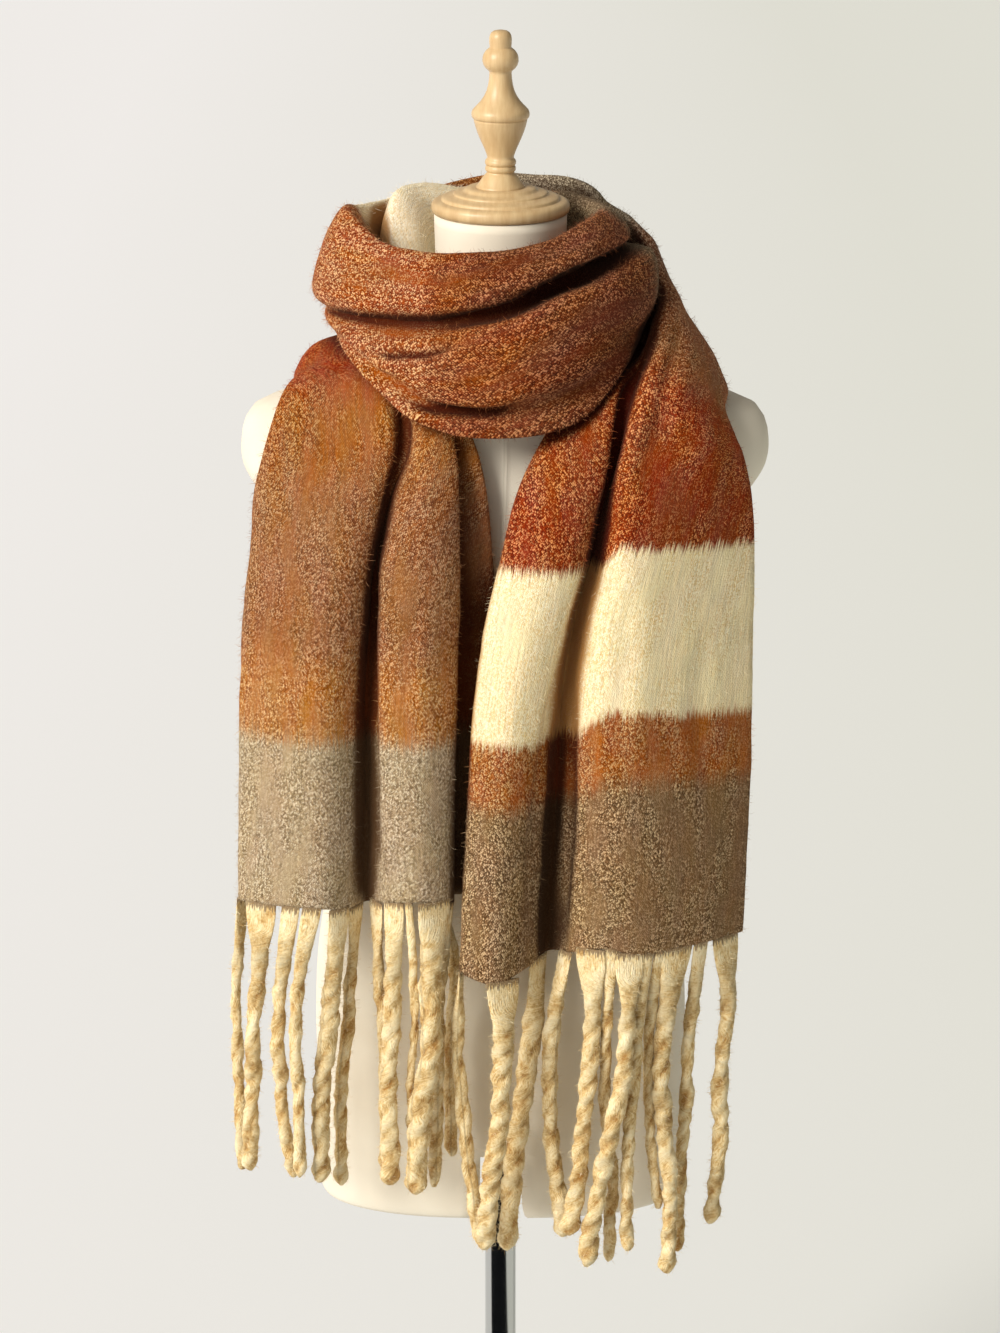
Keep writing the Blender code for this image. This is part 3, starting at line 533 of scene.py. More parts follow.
def gridNormals(grid):
    normals = np.cross(np.gradient(grid, axis=0), np.gradient(grid, axis=1))
    return normals / np.linalg.norm(normals, axis=-1, keepdims=True)


def gridFaces(index):
    return np.stack([index[:-1, :-1], index[:-1, 1:], index[1:, 1:], index[1:, :-1]], -1).reshape(-1, 4)


def clothPlaces(cloth):
    # rows close together where the cloth shows, further apart behind the neck
    places = [0.0]
    for i in range(cloth.last):
        reach = cloth.lengths[i * 20:(i + 1) * 20].sum() * 1000
        hidden = 8 <= i < 14 or 21 <= i < 26
        spacing = scarf["rowSpacing"] * (scarf["hiddenSpacing"] if hidden else 1.0)
        count = max(4, int(round(reach / spacing)))
        places += [i + (k + 1) / count for k in range(count)]
    return np.array(places)


def distanceTo(path, points):
    # distance to the path, and how far along it the nearest place lies, from 0 to 1
    best = np.full(points.shape[:-1], 1e9)
    share = np.zeros(points.shape[:-1])
    for k, (a, b) in enumerate(zip(path, path[1:])):
        ahead = b - a
        t = np.clip(((points - a) @ ahead) / (ahead @ ahead), 0, 1)
        gap = np.linalg.norm(points - (a + t[..., None] * ahead), axis=-1)
        share = np.where(gap < best, (k + t) / (len(path) - 1), share)
        best = np.minimum(best, gap)
    return best, share


def smoothPath(path):
    knots = np.arange(len(path), dtype=float)
    at = np.linspace(0, len(path) - 1, 6 * (len(path) - 1) + 1)
    return np.stack([smoothThrough(knots, path[:, k], at) for k in range(2)], axis=1)


def flattened(grid):
    # where each point lies on the sheet: across from its middle line, and along from the left hem
    rows, columns = grid.shape[:2]
    along = np.cumsum(np.linalg.norm(np.diff(grid, axis=0), axis=-1), axis=0)
    along = np.concatenate([np.zeros((1, columns)), along]).mean(axis=1)
    across = np.cumsum(np.linalg.norm(np.diff(grid, axis=1), axis=-1), axis=1)
    across = np.concatenate([np.zeros((rows, 1)), across], axis=1)
    across -= across[:, columns // 2][:, None]
    return np.stack([across, np.repeat(along[:, None], columns, axis=1)], axis=-1)


def shapeCloth(cloth):
    steps = scarf["acrossSteps"]
    places = clothPlaces(cloth)
    grid = cloth.rows(places, steps)
    sheetMap = flattened(grid)
    push = (lumps(grid, 0.026, 3) * 0.6 + lumps(grid, 0.012, 7) * 0.28) * scarf["softWaves"] * mm
    waver = 1 + 0.18 * lumps(np.concatenate([sheetMap, sheetMap[..., :1] * 0], axis=-1), 0.03, 21)
    paintedCreaseShade = np.zeros(grid.shape[:2])
    for crease in creases:
        path = [sheetMap[int(np.argmin(np.abs(places - place))), int(round(fold * steps))]
                for place, fold in crease["path"]]
        gap, share = distanceTo(smoothPath(np.array(path)), sheetMap)
        gap = gap / mm
        width = crease["width"] * waver
        fade = smoothstep(0, 0.28, share)
        if not crease.get("toHem"):
            fade = fade * smoothstep(1, 0.72, share)
        trough = fade * np.exp(-(gap / width) ** 2)
        push -= trough * crease["depth"] * mm
        push += fade * crease["lip"] * mm * np.exp(-((gap - 1.9 * width) / width) ** 2)
        # painted shade at the bottom of each crease, counted as closed-in cloth
        paintedCreaseShade = np.maximum(paintedCreaseShade, trough * crease.get("shade", min(crease["depth"] / 5, 1)))
    grid = grid + gridNormals(grid) * push[..., None]
    return places, grid, sheetMap, paintedCreaseShade * scarf["creaseShade"]


def bandShare(places, columns, cloth):
    marks = [row["place"] for row in bandSlant]
    lines = np.array([row["ahead"] for row in bandSlant], dtype=float)
    at = np.linspace(0, foldLines - 1, columns)
    shifted = []
    for place in places:
        ahead = [np.interp(place, marks, line) for line in lines.T]
        shifted.append(place + np.interp(at, np.arange(foldLines), ahead))
    return cloth.shareOf(np.array(shifted))


def closedIn(grid, normals):
    # how far cloth closes over each point, 0 open to 1 shut, for both sides, on a coarser grid; this sets
    # the painted shade in closed-in folds
    rowPick = np.unique(np.append(np.arange(0, grid.shape[0], 3), grid.shape[0] - 1))
    columnPick = np.arange(0, grid.shape[1], 3)
    points = grid[np.ix_(rowPick, columnPick)]
    rows, columns = points.shape[:2]
    faces = gridFaces(np.arange(rows * columns).reshape(rows, columns))
    tree = BVHTree.FromPolygons(points.reshape(-1, 3).tolist(), faces.tolist())
    count = scarf["shutRays"]
    reach = scarf["shutReach"]
    turnStep = math.pi * (3 - math.sqrt(5))
    result = []
    for side in (1, -1):
        out = normals[np.ix_(rowPick, columnPick)] * side
        first = np.cross(out, (0.13, 0.27, 0.95))
        first /= np.linalg.norm(first, axis=-1, keepdims=True)
        second = np.cross(out, first)
        shut = np.zeros((rows, columns))
        for k in range(count):
            share = (k + 0.5) / count
            flat = math.sqrt(share)
            direction = (first * (flat * math.cos(k * turnStep)) + second * (flat * math.sin(k * turnStep))
                         + out * math.sqrt(1 - share))
            for i, j in np.ndindex(rows, columns):
                start = points[i, j] + out[i, j] * scarf["shutClear"]
                hit = tree.ray_cast(start, direction[i, j], reach)[3]
                if hit is not None:
                    shut[i, j] += 1 - 0.6 * hit / reach
        shut /= count
        # back to the full grid, first across, then along
        wide = np.stack([np.interp(np.arange(grid.shape[1]), columnPick, line) for line in shut])
        full = [np.interp(np.arange(grid.shape[0]), rowPick, line) for line in wide.T]
        result.append(np.stack(full, axis=1))
    return result


def rubbedShare(bend, lengths, toward):
    # fold crests that stand proud: tight convex bends, spread a little to both sides
    curve = np.where(toward, 0, 2 * np.tan(bend / 2) / np.maximum(lengths, 1e-6))
    full = np.pad(np.clip(curve / scarf["sharpBend"], 0, 1.4), ((0, 0), (1, 1)))
    weight = np.exp(-(np.arange(-6, 7) / 3.0) ** 2)
    weight /= weight.sum()
    return np.apply_along_axis(lambda line: np.convolve(line, weight, mode="same"), 1, full)


def buildScarf(cloth, material):
    places, grid, sheetMap, paintedCreaseShade = shapeCloth(cloth)
    normals = gridNormals(grid)
    shutFront, shutRear = closedIn(grid, normals)
    # the painted shade of crease bottoms joins that of closed-in folds
    shutFront = np.maximum(shutFront, 0.65 * shutFront + paintedCreaseShade)
    rows, columns = grid.shape[:2]
    before = grid[:, 1:-1] - grid[:, :-2]
    after = grid[:, 2:] - grid[:, 1:-1]
    beforeLength = np.linalg.norm(before, axis=-1)
    afterLength = np.linalg.norm(after, axis=-1)
    lengths = np.minimum(beforeLength, afterLength)
    cosine = (before * after).sum(-1) / np.maximum(beforeLength * afterLength, 1e-12)
    bend = np.arccos(np.clip(cosine, -1, 1))
    lean = after / afterLength[..., None] - before / beforeLength[..., None]
    toward = (lean * normals[:, 1:-1]).sum(-1) > 0
    # the wall thins on the inside of a tight bend, and at both selvedges
    half = scarf["wall"] * mm / 2
    room = np.maximum(0.8 * (lengths / (2 * np.tan(np.maximum(bend, 1e-4) / 2))), 0.3 * mm)
    sides = []
    for inside in (toward, ~toward):
        thick = np.full((rows, columns), half)
        thick[:, 1:-1] = np.where(inside, np.minimum(half, room), half)
        thick[:, [0, -1]] *= 0.55
        thick[:, [1, -2]] *= 0.85
        sides.append(thick[..., None])
    points = np.stack([grid + normals * sides[0], grid - normals * sides[1]]).reshape(-1, 3)
    back = rows * columns
    index = np.arange(back).reshape(rows, columns)
    faces = [gridFaces(index), back + gridFaces(index)[:, ::-1]]
    for line in (index[:, 0], index[:, -1], index[0], index[-1]):
        p, q = line[:-1], line[1:]
        faces.append(np.stack([p, q, back + q, back + p], 1))
    piece = makePiece("scarf", points, np.concatenate(faces).tolist(), material,
                      ("tail_left", "wrap_back_inner", "front_loop", "wrap_back_outer", "tail_right"))
    flat = sheetMap.reshape(-1, 2)
    addMap(piece, "cloth", np.concatenate([flat, flat + (0.37, 0.0)]))
    share = bandShare(places, columns, cloth)
    addFacts(piece, "alongShare", (share, share))
    # painted shade where folds close in, for each face
    addFacts(piece, "hollowShade", (shutFront, shutRear))
    rubbed = rubbedShare(bend, lengths, toward)
    addFacts(piece, "worn", (rubbed, rubbedShare(bend, lengths, ~toward)))
    # loose hairs stand on open faces, most on fold crests, selvedges and hems
    rim = np.zeros((rows, columns))
    rim[:, :2] = rim[:, -2:] = rim[:2] = rim[-2:] = 1
    addFacts(piece, "hairs", ((0.30 + rubbed + rim) * smoothstep(0.5, 0.15, shutFront),
                              (0.05 + rim) * smoothstep(0.5, 0.15, shutRear)))
    return piece


# painted shade in closed-in folds: where it starts and where it is full, how far it goes, and its tint on
# each band's shade colour
wool = {
    "napped": 0.27,           # how far the weave shows on flat panels
    "rubbed": 0.92,           # and on fold crests
    "hollowStart": 0.13,      # how closed in a fold is where it begins to darken
    "hollowFull": 0.48,
    "hollowMost": 0.92,
    "hollowTint": "#B8946C",  # on the shade colour of each band
}
placeShare = 0.027            # share of the whole length in one section of the tables


def bandRamp(tree, place, key, start, end, shares):
    stops = [(0.0, bands[start][key])]
    for i in range(start, min(end, len(bands) - 1)):
        melt = max(bands[i]["melt"], 0.02) * placeShare / 2
        if shares[i] - melt > stops[-1][0]:
            stops.append((shares[i] - melt, bands[i][key]))
        stops.append((min(shares[i] + melt, 0.9999), bands[i + 1][key]))
    return addNode(tree, "ShaderNodeValToRGB", inputs={"Fac": place}, stops=stops)


def bandColour(tree, place, key, shares):
    # a ramp holds 32 colours at most, so the bands are split between two
    half = len(bands) // 2
    later = addNode(tree, "ShaderNodeMath", {"operation": "GREATER_THAN"}, {0: place, 1: shares[half - 1]})
    return addNode(tree, "ShaderNodeMix", colourMix, {
        0: later, 6: bandRamp(tree, place, key, 0, half, shares),
        7: bandRamp(tree, place, key, half, len(bands), shares)})


def brushedWool(shares):
    # Brushed wool blanket cloth: loose twill of flecked yarn whose raised nap blurs the flecks in streaks.
    material, tree, shader = newMaterial("brushed_wool", {
        "Roughness": 0.92, "Specular IOR Level": 0.1, "Sheen Weight": 0.06, "Sheen Roughness": 0.5,
        "Sheen Tint": "#E8C9A4"})
    cloth = addNode(tree, "ShaderNodeUVMap", {"uv_map": "cloth"})
    along, worn, hollowShade = [addNode(tree, "ShaderNodeAttribute", {"attribute_name": name}).outputs["Fac"]
                           for name in ("alongShare", "worn", "hollowShade")]
    # nap streaks: 1.4 mm wide, 26 mm long; band edges wander with them
    streaks = stretchedNoise(tree, cloth, (700, 38, 1), 3, 0.6)
    shift = addNode(tree, "ShaderNodeMath", productPlus, {0: streaks, 1: 0.0125, 2: -0.00625})
    place = addNode(tree, "ShaderNodeMath", sumOf, {0: along, 1: shift})
    ground, fleck, shade = [bandColour(tree, place, key, shares) for key in ("ground", "fleck", "shade")]
    # flecks of the twill: yarn floats about 1.4 mm apart, set on the diagonal
    twillMap = addNode(tree, "ShaderNodeMapping", inputs={
        "Vector": cloth, "Rotation": (0, 0, math.radians(36)), "Scale": (800, 690, 1)})
    cells = addNode(tree, "ShaderNodeTexVoronoi", {"voronoi_dimensions": "2D"},
                    {"Vector": twillMap, "Scale": 1, "Randomness": 0.55})
    pick = addNode(tree, "ShaderNodeSeparateColor", inputs={"Color": cells.outputs["Color"]}).outputs
    # tufts of raised nap, about 1.6 mm by 3.5 mm
    tufts = stretchedNoise(tree, cloth, (640, 290, 1), 2, 0.55)
    # a float is lightest in its middle, and lighter again where the nap stands up
    floatTop = addNode(tree, "ShaderNodeMath", productPlus, {0: cells, 1: -1.5, 2: pick["Red"]})
    floatNap = addNode(tree, "ShaderNodeMath", productPlus, {0: tufts, 1: 0.9, 2: floatTop})
    fleckShare = addNode(tree, "ShaderNodeMapRange", softStep,
                         {"Value": floatNap, "From Min": 0.30, "From Max": 1.05})
    gapDepth = addNode(tree, "ShaderNodeMath", productPlus, {0: cells, 1: 1.5, 2: pick["Green"]})
    shadeShare = addNode(tree, "ShaderNodeMapRange", softStep,
                         {"Value": gapDepth, "From Min": 0.70, "From Max": 1.60})
    # the weave shows where folds are rubbed; flat panels keep a blurring nap
    patches = stretchedNoise(tree, cloth, (48, 17, 1), 3, 0.6)
    bare = addNode(tree, "ShaderNodeMath", productPlus, {0: worn, 1: 0.42, 2: patches})
    crisp = addNode(tree, "ShaderNodeMapRange", softStep, {
        "Value": bare, "From Min": 0.40, "From Max": 0.69,
        "To Min": wool["napped"], "To Max": wool["rubbed"]})
    colour = ground
    for share, yarn in ((shadeShare, shade), (fleckShare, fleck)):
        shown = addNode(tree, "ShaderNodeMath", product, {0: share, 1: crisp})
        colour = addNode(tree, "ShaderNodeMix", colourMix, {0: shown, 6: colour, 7: yarn})
    # light and dark streaks of combed hair
    tone = addNode(tree, "ShaderNodeMapRange", inputs={
        "Value": streaks, "From Min": 0.25, "From Max": 0.75, "To Min": 0.80, "To Max": 1.16})
    toned = addNode(tree, "ShaderNodeMix", colourProduct, {
        0: 1.0, 6: colour, 7: tone})
    # the dye took unevenly: patches lean a little towards golden brown or turn duller
    uneven = addNode(tree, "ShaderNodeSeparateColor", inputs={"Color": patches.outputs["Color"]}).outputs
    hue, depthOfDye = [addNode(tree, "ShaderNodeMapRange", inputs={
        "Value": uneven[channel], "From Min": 0.38, "From Max": 0.62, "To Min": low, "To Max": high})
        for channel, low, high in (("Green", 0.4975, 0.5055), ("Blue", 0.97, 1.04))]
    dyed = addNode(tree, "ShaderNodeHueSaturation", inputs={
        "Hue": hue, "Saturation": depthOfDye, "Color": toned})
    # painted shade: the colour goes dark and rich towards the band's shade colour where folds close over it
    closed = addNode(tree, "ShaderNodeMapRange", softStep, {
        "Value": hollowShade, "From Min": wool["hollowStart"], "From Max": wool["hollowFull"],
        "To Max": wool["hollowMost"]})
    hollowShadeColour = addNode(tree, "ShaderNodeMix", colourProduct, {
        0: 1.0, 6: shade, 7: wool["hollowTint"]})
    shadedColour = addNode(tree, "ShaderNodeMix", colourMix, {0: closed, 6: dyed, 7: hollowShadeColour})
    height = addNode(tree, "ShaderNodeMath", {"operation": "SUBTRACT"}, {0: streaks, 1: cells})
    bump = addNode(tree, "ShaderNodeBump", inputs={"Height": height, "Strength": 0.55, "Distance": 0.0009})
    setInputs(tree, shader, {"Base Color": shadedColour, "Normal": bump})
    return material


nap = {
    "perSquareMetre": 105000,  # where the hairs attribute is 1
    "length": 0.0041,          # metres
    "width": 0.00021,
    "droop": 0.5,              # how far hairs hang
    "spread": 0.95,            # how far they lean at random
}
fuzz = {
    "perSquareMetre": 150000,
    "length": 0.0035,
    "width": 0.00021,
    "droop": 0.25,
    "spread": 1.1,
}


def napHair(shares):
    # Single wool hairs in the colour of the band they stand on, some mixed at random towards the paler
    # fleck colour.
    material, tree, shader = newMaterial("raised_wool_hair", {"Roughness": 0.8, "Specular IOR Level": 0.2})
    along = addNode(tree, "ShaderNodeAttribute", {"attribute_name": "alongShare"}).outputs["Fac"]
    where = addNode(tree, "ShaderNodeTexCoord").outputs["Object"]
    mottle = addNode(tree, "ShaderNodeTexNoise", inputs={"Vector": where, "Scale": 260, "Detail": 1})
    share = addNode(tree, "ShaderNodeMapRange", inputs={
        "Value": mottle, "From Min": 0.35, "From Max": 0.65, "To Min": 0.1, "To Max": 0.65})
    mixed = addNode(tree, "ShaderNodeMix", colourMix, {
        0: share, 6: bandColour(tree, along, "ground", shares),
        7: bandColour(tree, along, "fleck", shares)})
    setInputs(tree, shader, {"Base Color": mixed})
    return material


def yarnHair():
    # Loose ends of the cream yarn, gold to pale.
    material, tree, shader = newMaterial("loose_yarn_hair", {"Roughness": 0.8, "Specular IOR Level": 0.2})
    where = addNode(tree, "ShaderNodeTexCoord").outputs["Object"]
    mottle = addNode(tree, "ShaderNodeTexNoise", inputs={"Vector": where, "Scale": 300, "Detail": 1})
    colour = addNode(tree, "ShaderNodeValToRGB", inputs={"Fac": mottle},
                     stops=((0.35, "#CBA565"), (0.60, "#FBEFCC")))
    setInputs(tree, shader, {"Base Color": colour})
    return material


def hairTree(material, blade):
    # hairs scattered over a mesh: each stands off the surface, leans at random and droops
    tree = bpy.data.node_groups.new("scatter_hairs", "GeometryNodeTree")
    for name, way, kind in (
            ("Mesh", "INPUT", "Geometry"), ("Per Square Metre", "INPUT", "Float"),
            ("Length", "INPUT", "Float"), ("Droop", "INPUT", "Float"), ("Spread", "INPUT", "Float"),
            ("Seed", "INPUT", "Int"), ("Mesh", "OUTPUT", "Geometry")):
        tree.interface.new_socket(name, in_out=way, socket_type="NodeSocket" + kind)
    given = addNode(tree, "NodeGroupInput").outputs
    thick = addNode(tree, "GeometryNodeInputNamedAttribute", {"data_type": "FLOAT"}, {"Name": "hairs"})
    density = addNode(tree, "ShaderNodeMath", product, {0: thick, 1: given["Per Square Metre"]})
    points = addNode(tree, "GeometryNodeDistributePointsOnFaces", {"distribute_method": "RANDOM"},
                     {"Mesh": given["Mesh"], "Density": density, "Seed": given["Seed"]})
    stray = addNode(tree, "FunctionNodeRandomValue", {"data_type": "FLOAT_VECTOR"},
                    {0: (-1, -1, -1), 1: (1, 1, 1), "Seed": given["Seed"]})
    leaned, down = [
        addNode(tree, "ShaderNodeVectorMath", {"operation": "SCALE"}, {0: way, "Scale": given[name]})
        for way, name in ((stray, "Spread"), ((0, 0, -1), "Droop"))]
    both = addNode(tree, "ShaderNodeVectorMath", sumOf, {0: leaned, 1: down})
    toward = addNode(tree, "ShaderNodeVectorMath", sumOf, {0: both, 1: points.outputs["Normal"]})
    turned = addNode(tree, "FunctionNodeAlignRotationToVector", {"axis": "Z"}, {"Vector": toward})
    roll = addNode(tree, "FunctionNodeRandomValue", {"data_type": "FLOAT"}, {
        2: 0.0, 3: 2 * math.pi, "Seed": 5})
    rolled = addNode(tree, "FunctionNodeAxisAngleToRotation", inputs={"Axis": (0, 0, 1), "Angle": roll})
    spun = addNode(tree, "FunctionNodeRotateRotation", {"rotation_space": "LOCAL"}, {0: turned, 1: rolled})
    size = addNode(tree, "FunctionNodeRandomValue", {"data_type": "FLOAT"}, {2: 0.45, 3: 1.25, "Seed": 8})
    long = addNode(tree, "ShaderNodeMath", product, {0: size, 1: given["Length"]})
    hair = addNode(tree, "GeometryNodeObjectInfo", inputs={"Object": blade})
    placed = addNode(tree, "GeometryNodeInstanceOnPoints", inputs={
        "Points": points, "Instance": hair.outputs["Geometry"], "Rotation": spun, "Scale": long})
    whole = addNode(tree, "GeometryNodeRealizeInstances", inputs={0: placed})
    coloured = addNode(tree, "GeometryNodeSetMaterial", inputs={0: whole, "Material": material})
    addNode(tree, "NodeGroupOutput", inputs={0: coloured})
    return tree


def addHairs(piece, name, values, material, seed):
    # one hair is a bent blade with a pointed tip, one unit long
    wide = values["width"] / values["length"] / 2
    line = ((0.0, 0.0, 1.0), (0.10, 0.42, 0.85), (0.34, 0.78, 0.5))
    points = [(x, side * wide * size, z) for x, z, size in line for side in (-1, 1)] + [(0.72, 0, 0.98)]
    mesh = bpy.data.meshes.new("hair")
    mesh.from_pydata(points, [], [(0, 1, 3, 2), (2, 3, 5, 4), (4, 5, 6)])
    blade = addObject("hair", mesh)
    modifier = piece.modifiers.new("hairs", "NODES")
    modifier.node_group = hairTree(material, blade)
    settings = {"Per Square Metre": values["perSquareMetre"], "Length": values["length"],
                "Droop": values["droop"], "Spread": values["spread"], "Seed": seed}
    for item in modifier.node_group.interface.items_tree:
        if item.in_out == "INPUT" and item.name in settings:
            modifier[item.identifier] = settings[item.name]
    bpy.context.view_layer.update()
    grown = bpy.data.meshes.new_from_object(piece.evaluated_get(bpy.context.evaluated_depsgraph_get()))
    piece.modifiers.remove(modifier)
    bpy.data.objects.remove(blade)
    print(name, len(grown.polygons))
    return placePiece(name, grown)


# Tassels from the neck side out: share = place along the hem, fan = half width at the hem, half = half
# width of the twist, path = sideways, front to back and drop from the root, all in mm.
leftTassels = table(
    "share fan half path",
    (0.145, 11, 3.3, ((10, 2, 61), (7, 3, 109), (6, 4, 158), (7, 4, 219))),
    (0.215, 8, 3.6, ((-10, 3, 68), (-12, 5, 121), (-13, 6, 174), (-15, 7, 241))),
    (0.292, 14, 5.8, ((-3, 0, 67), (-4, 0, 120), (-12, -1, 173), (-16, -2, 240))),
    (0.36, 3, 2.4, ((3, 4, 54), (4, 8, 97), (1, 11, 139), (-1, 12, 193))),
    (0.402, 8.9, 5, ((-1, 0, 65), (-3, 0, 117), (-5, 0, 168), (-4, 0, 233))),
    (0.48, 11, 3.3, ((2, 3, 64), (5, 5, 114), (5, 6, 164), (6, 6, 228))),
    (0.562, 9.7, 3.4, ((-5, 2, 66), (-10, 3, 117), (-15, 4, 169), (-14, 4, 235))),
    (0.627, 10, 5, ((-6, 0, 63), (-12, 0, 113), (-17, 0, 163), (-17, 0, 226))),
    (0.703, 7.5, 3.7, ((-11, -2, 62), (-14, -4, 110), (-12, -5, 158), (-12, -5, 220))),
    (0.76, 7.5, 3.9, ((-8, 0, 63), (-11, 1, 112), (-9, 3, 162), (-1, 4, 225))),
    (0.846, 14, 4.4, ((-3, 0, 62), (-8, 0, 111), (-9, 0, 159), (-12, 0, 221))),
    (0.95, 9, 3, ((-6, 0, 64), (-7, 0, 114), (-6, 0, 164), (-5, 0, 228))),
)
rightTassels = table(
    "share fan half path",
    (0.05, 11, 3.8, ((-3, 2, 65), (1, 3, 117), (6, 3, 168), (14, 3, 233))),
    (0.185, 14, 5.1, ((0, 0, 63), (-3, 0, 112), (-9, 0, 161), (-15, 0, 223))),
    (0.339, 14, 5.4, ((-5, 0, 69), (-13, 0, 123), (-20, 0, 178), (-24, 0, 247))),
    (0.45, 7.9, 4.6, ((-10, 0, 67), (-12, 0, 119), (-9, 0, 172), (0, 0, 239))),
    (0.536, 12.5, 5, ((2, -1, 66), (-2, -3, 118), (-7, -4, 170), (-15, -4, 236))),
    (0.592, 5.5, 3.1, ((-3, 6, 75), (-4, 13, 134), (2, 15, 192), (0, 14, 267))),
    (0.641, 11.5, 4.6, ((-2, -2, 72), (-10, -4, 129), (-22, -5, 186), (-32, -4, 259))),
    (0.689, 4.5, 3.5, ((-7, 3, 69), (-11, 3, 123), (-15, 0, 178), (-13, -2, 247))),
    (0.724, 4.9, 3.1, ((-6, 9, 62), (-7, 13, 110), (-5, 13, 158), (2, 13, 220))),
    (0.778, 13.5, 5, ((-10, 0, 76), (-10, 0, 135), (-3, -2, 195), (-6, -3, 271))),
    (0.851, 7, 3.8, ((-7, 3, 73), (-9, 5, 131), (-12, 6, 189), (-15, 6, 262))),
    (0.938, 14, 4.3, ((3, 0, 68), (-2, 0, 121), (-1, 0, 174), (-8, 0, 242))),
)
fringe = {
    "sides": 24,
    "ringStep": 2.4,          # mm
    "fanLength": 58,          # mm, until the twist has closed
    "lay": 52,                # mm for one turn of the two plies
    "plump": 1.42,            # the brushed yarn stands out round the twisted core
    "rootThick": 1.7,         # mm, half thickness at the hem
    "fuzz": 1.0,              # mm, loops of the yarn
    "knot": (1.05, 1.08, 1.05, 0.94, 0.72, 0.34),    # width of the last rings
}


def woolYarn():
    # Loosely twisted boucle wool: cream loops with painted golden shade in the dips and the groove between
    # the plies, random golden mottling, fine hairs running round the twist.
    material, tree, shader = newMaterial("boucle_yarn", {
        "Roughness": 0.95, "Specular IOR Level": 0.1, "Sheen Weight": 0.15, "Sheen Roughness": 0.5,
        "Sheen Tint": "#FFF2D0"})
    where = addNode(tree, "ShaderNodeTexCoord").outputs["Object"]
    hollowShade = addNode(tree, "ShaderNodeAttribute", {"attribute_name": "hollowShade"}).outputs["Fac"]
    twist = addNode(tree, "ShaderNodeUVMap", {"uv_map": "twist"})
    # hairs 0.9 mm apart and about 9 mm long, over loops of about 2 mm
    hairs = stretchedNoise(tree, twist, (1100, 110, 1), 2)
    loops = addNode(tree, "ShaderNodeTexNoise", inputs={
        "Vector": where, "Scale": 520, "Detail": 3, "Roughness": 0.6})
    patches = addNode(tree, "ShaderNodeTexNoise", inputs={"Vector": where, "Scale": 55, "Detail": 2})
    # painted shade: raised loops and hairs stay cream, dips and the groove between the plies turn golden
    # brown; the patches add random mottling
    relief = addNode(tree, "ShaderNodeMath", sumOf, {0: loops, 1: hairs})
    depth = addNode(tree, "ShaderNodeMath", productPlus, {0: hollowShade, 1: 0.55, 2: patches})
    # this sum runs from about -0.45 to 0.55
    mixed = addNode(tree, "ShaderNodeMath", productPlus, {0: relief, 1: -0.75, 2: depth})
    lifted = addNode(tree, "ShaderNodeMath", sumOf, {0: mixed, 1: 0.5})
    colour = addNode(tree, "ShaderNodeValToRGB", inputs={"Fac": lifted}, stops=(
        (0.02, "#F8E9C3"), (0.30, "#EDD6A4"), (0.50, "#D6B67C"), (0.80, "#AC7D41")))
    # ends of the brown hem cloth run down between the cream yarns at the top of each fan
    fall = addNode(tree, "ShaderNodeSeparateXYZ", inputs={"Vector": twist}).outputs["Y"]
    ragged = addNode(tree, "ShaderNodeMath", productPlus, {0: hairs, 1: -0.016, 2: fall})
    brown = addNode(tree, "ShaderNodeMapRange", softStep, {
        "Value": ragged, "From Min": -0.0058, "From Max": -0.0036, "To Min": 0.9, "To Max": 0.0})
    topped = addNode(tree, "ShaderNodeMix", colourMix, {0: brown, 6: colour, 7: "#7D6549"})
    bump = addNode(tree, "ShaderNodeBump", inputs={"Height": relief, "Strength": 0.8, "Distance": 0.0013})
    setInputs(tree, shader, {"Base Color": topped, "Normal": bump})
    return material


def hemPoint(hem, lengths, share):
    target = np.clip(share, 0, 1) * lengths[-1]
    return np.array([np.interp(target, lengths, hem[:, k]) for k in range(3)])


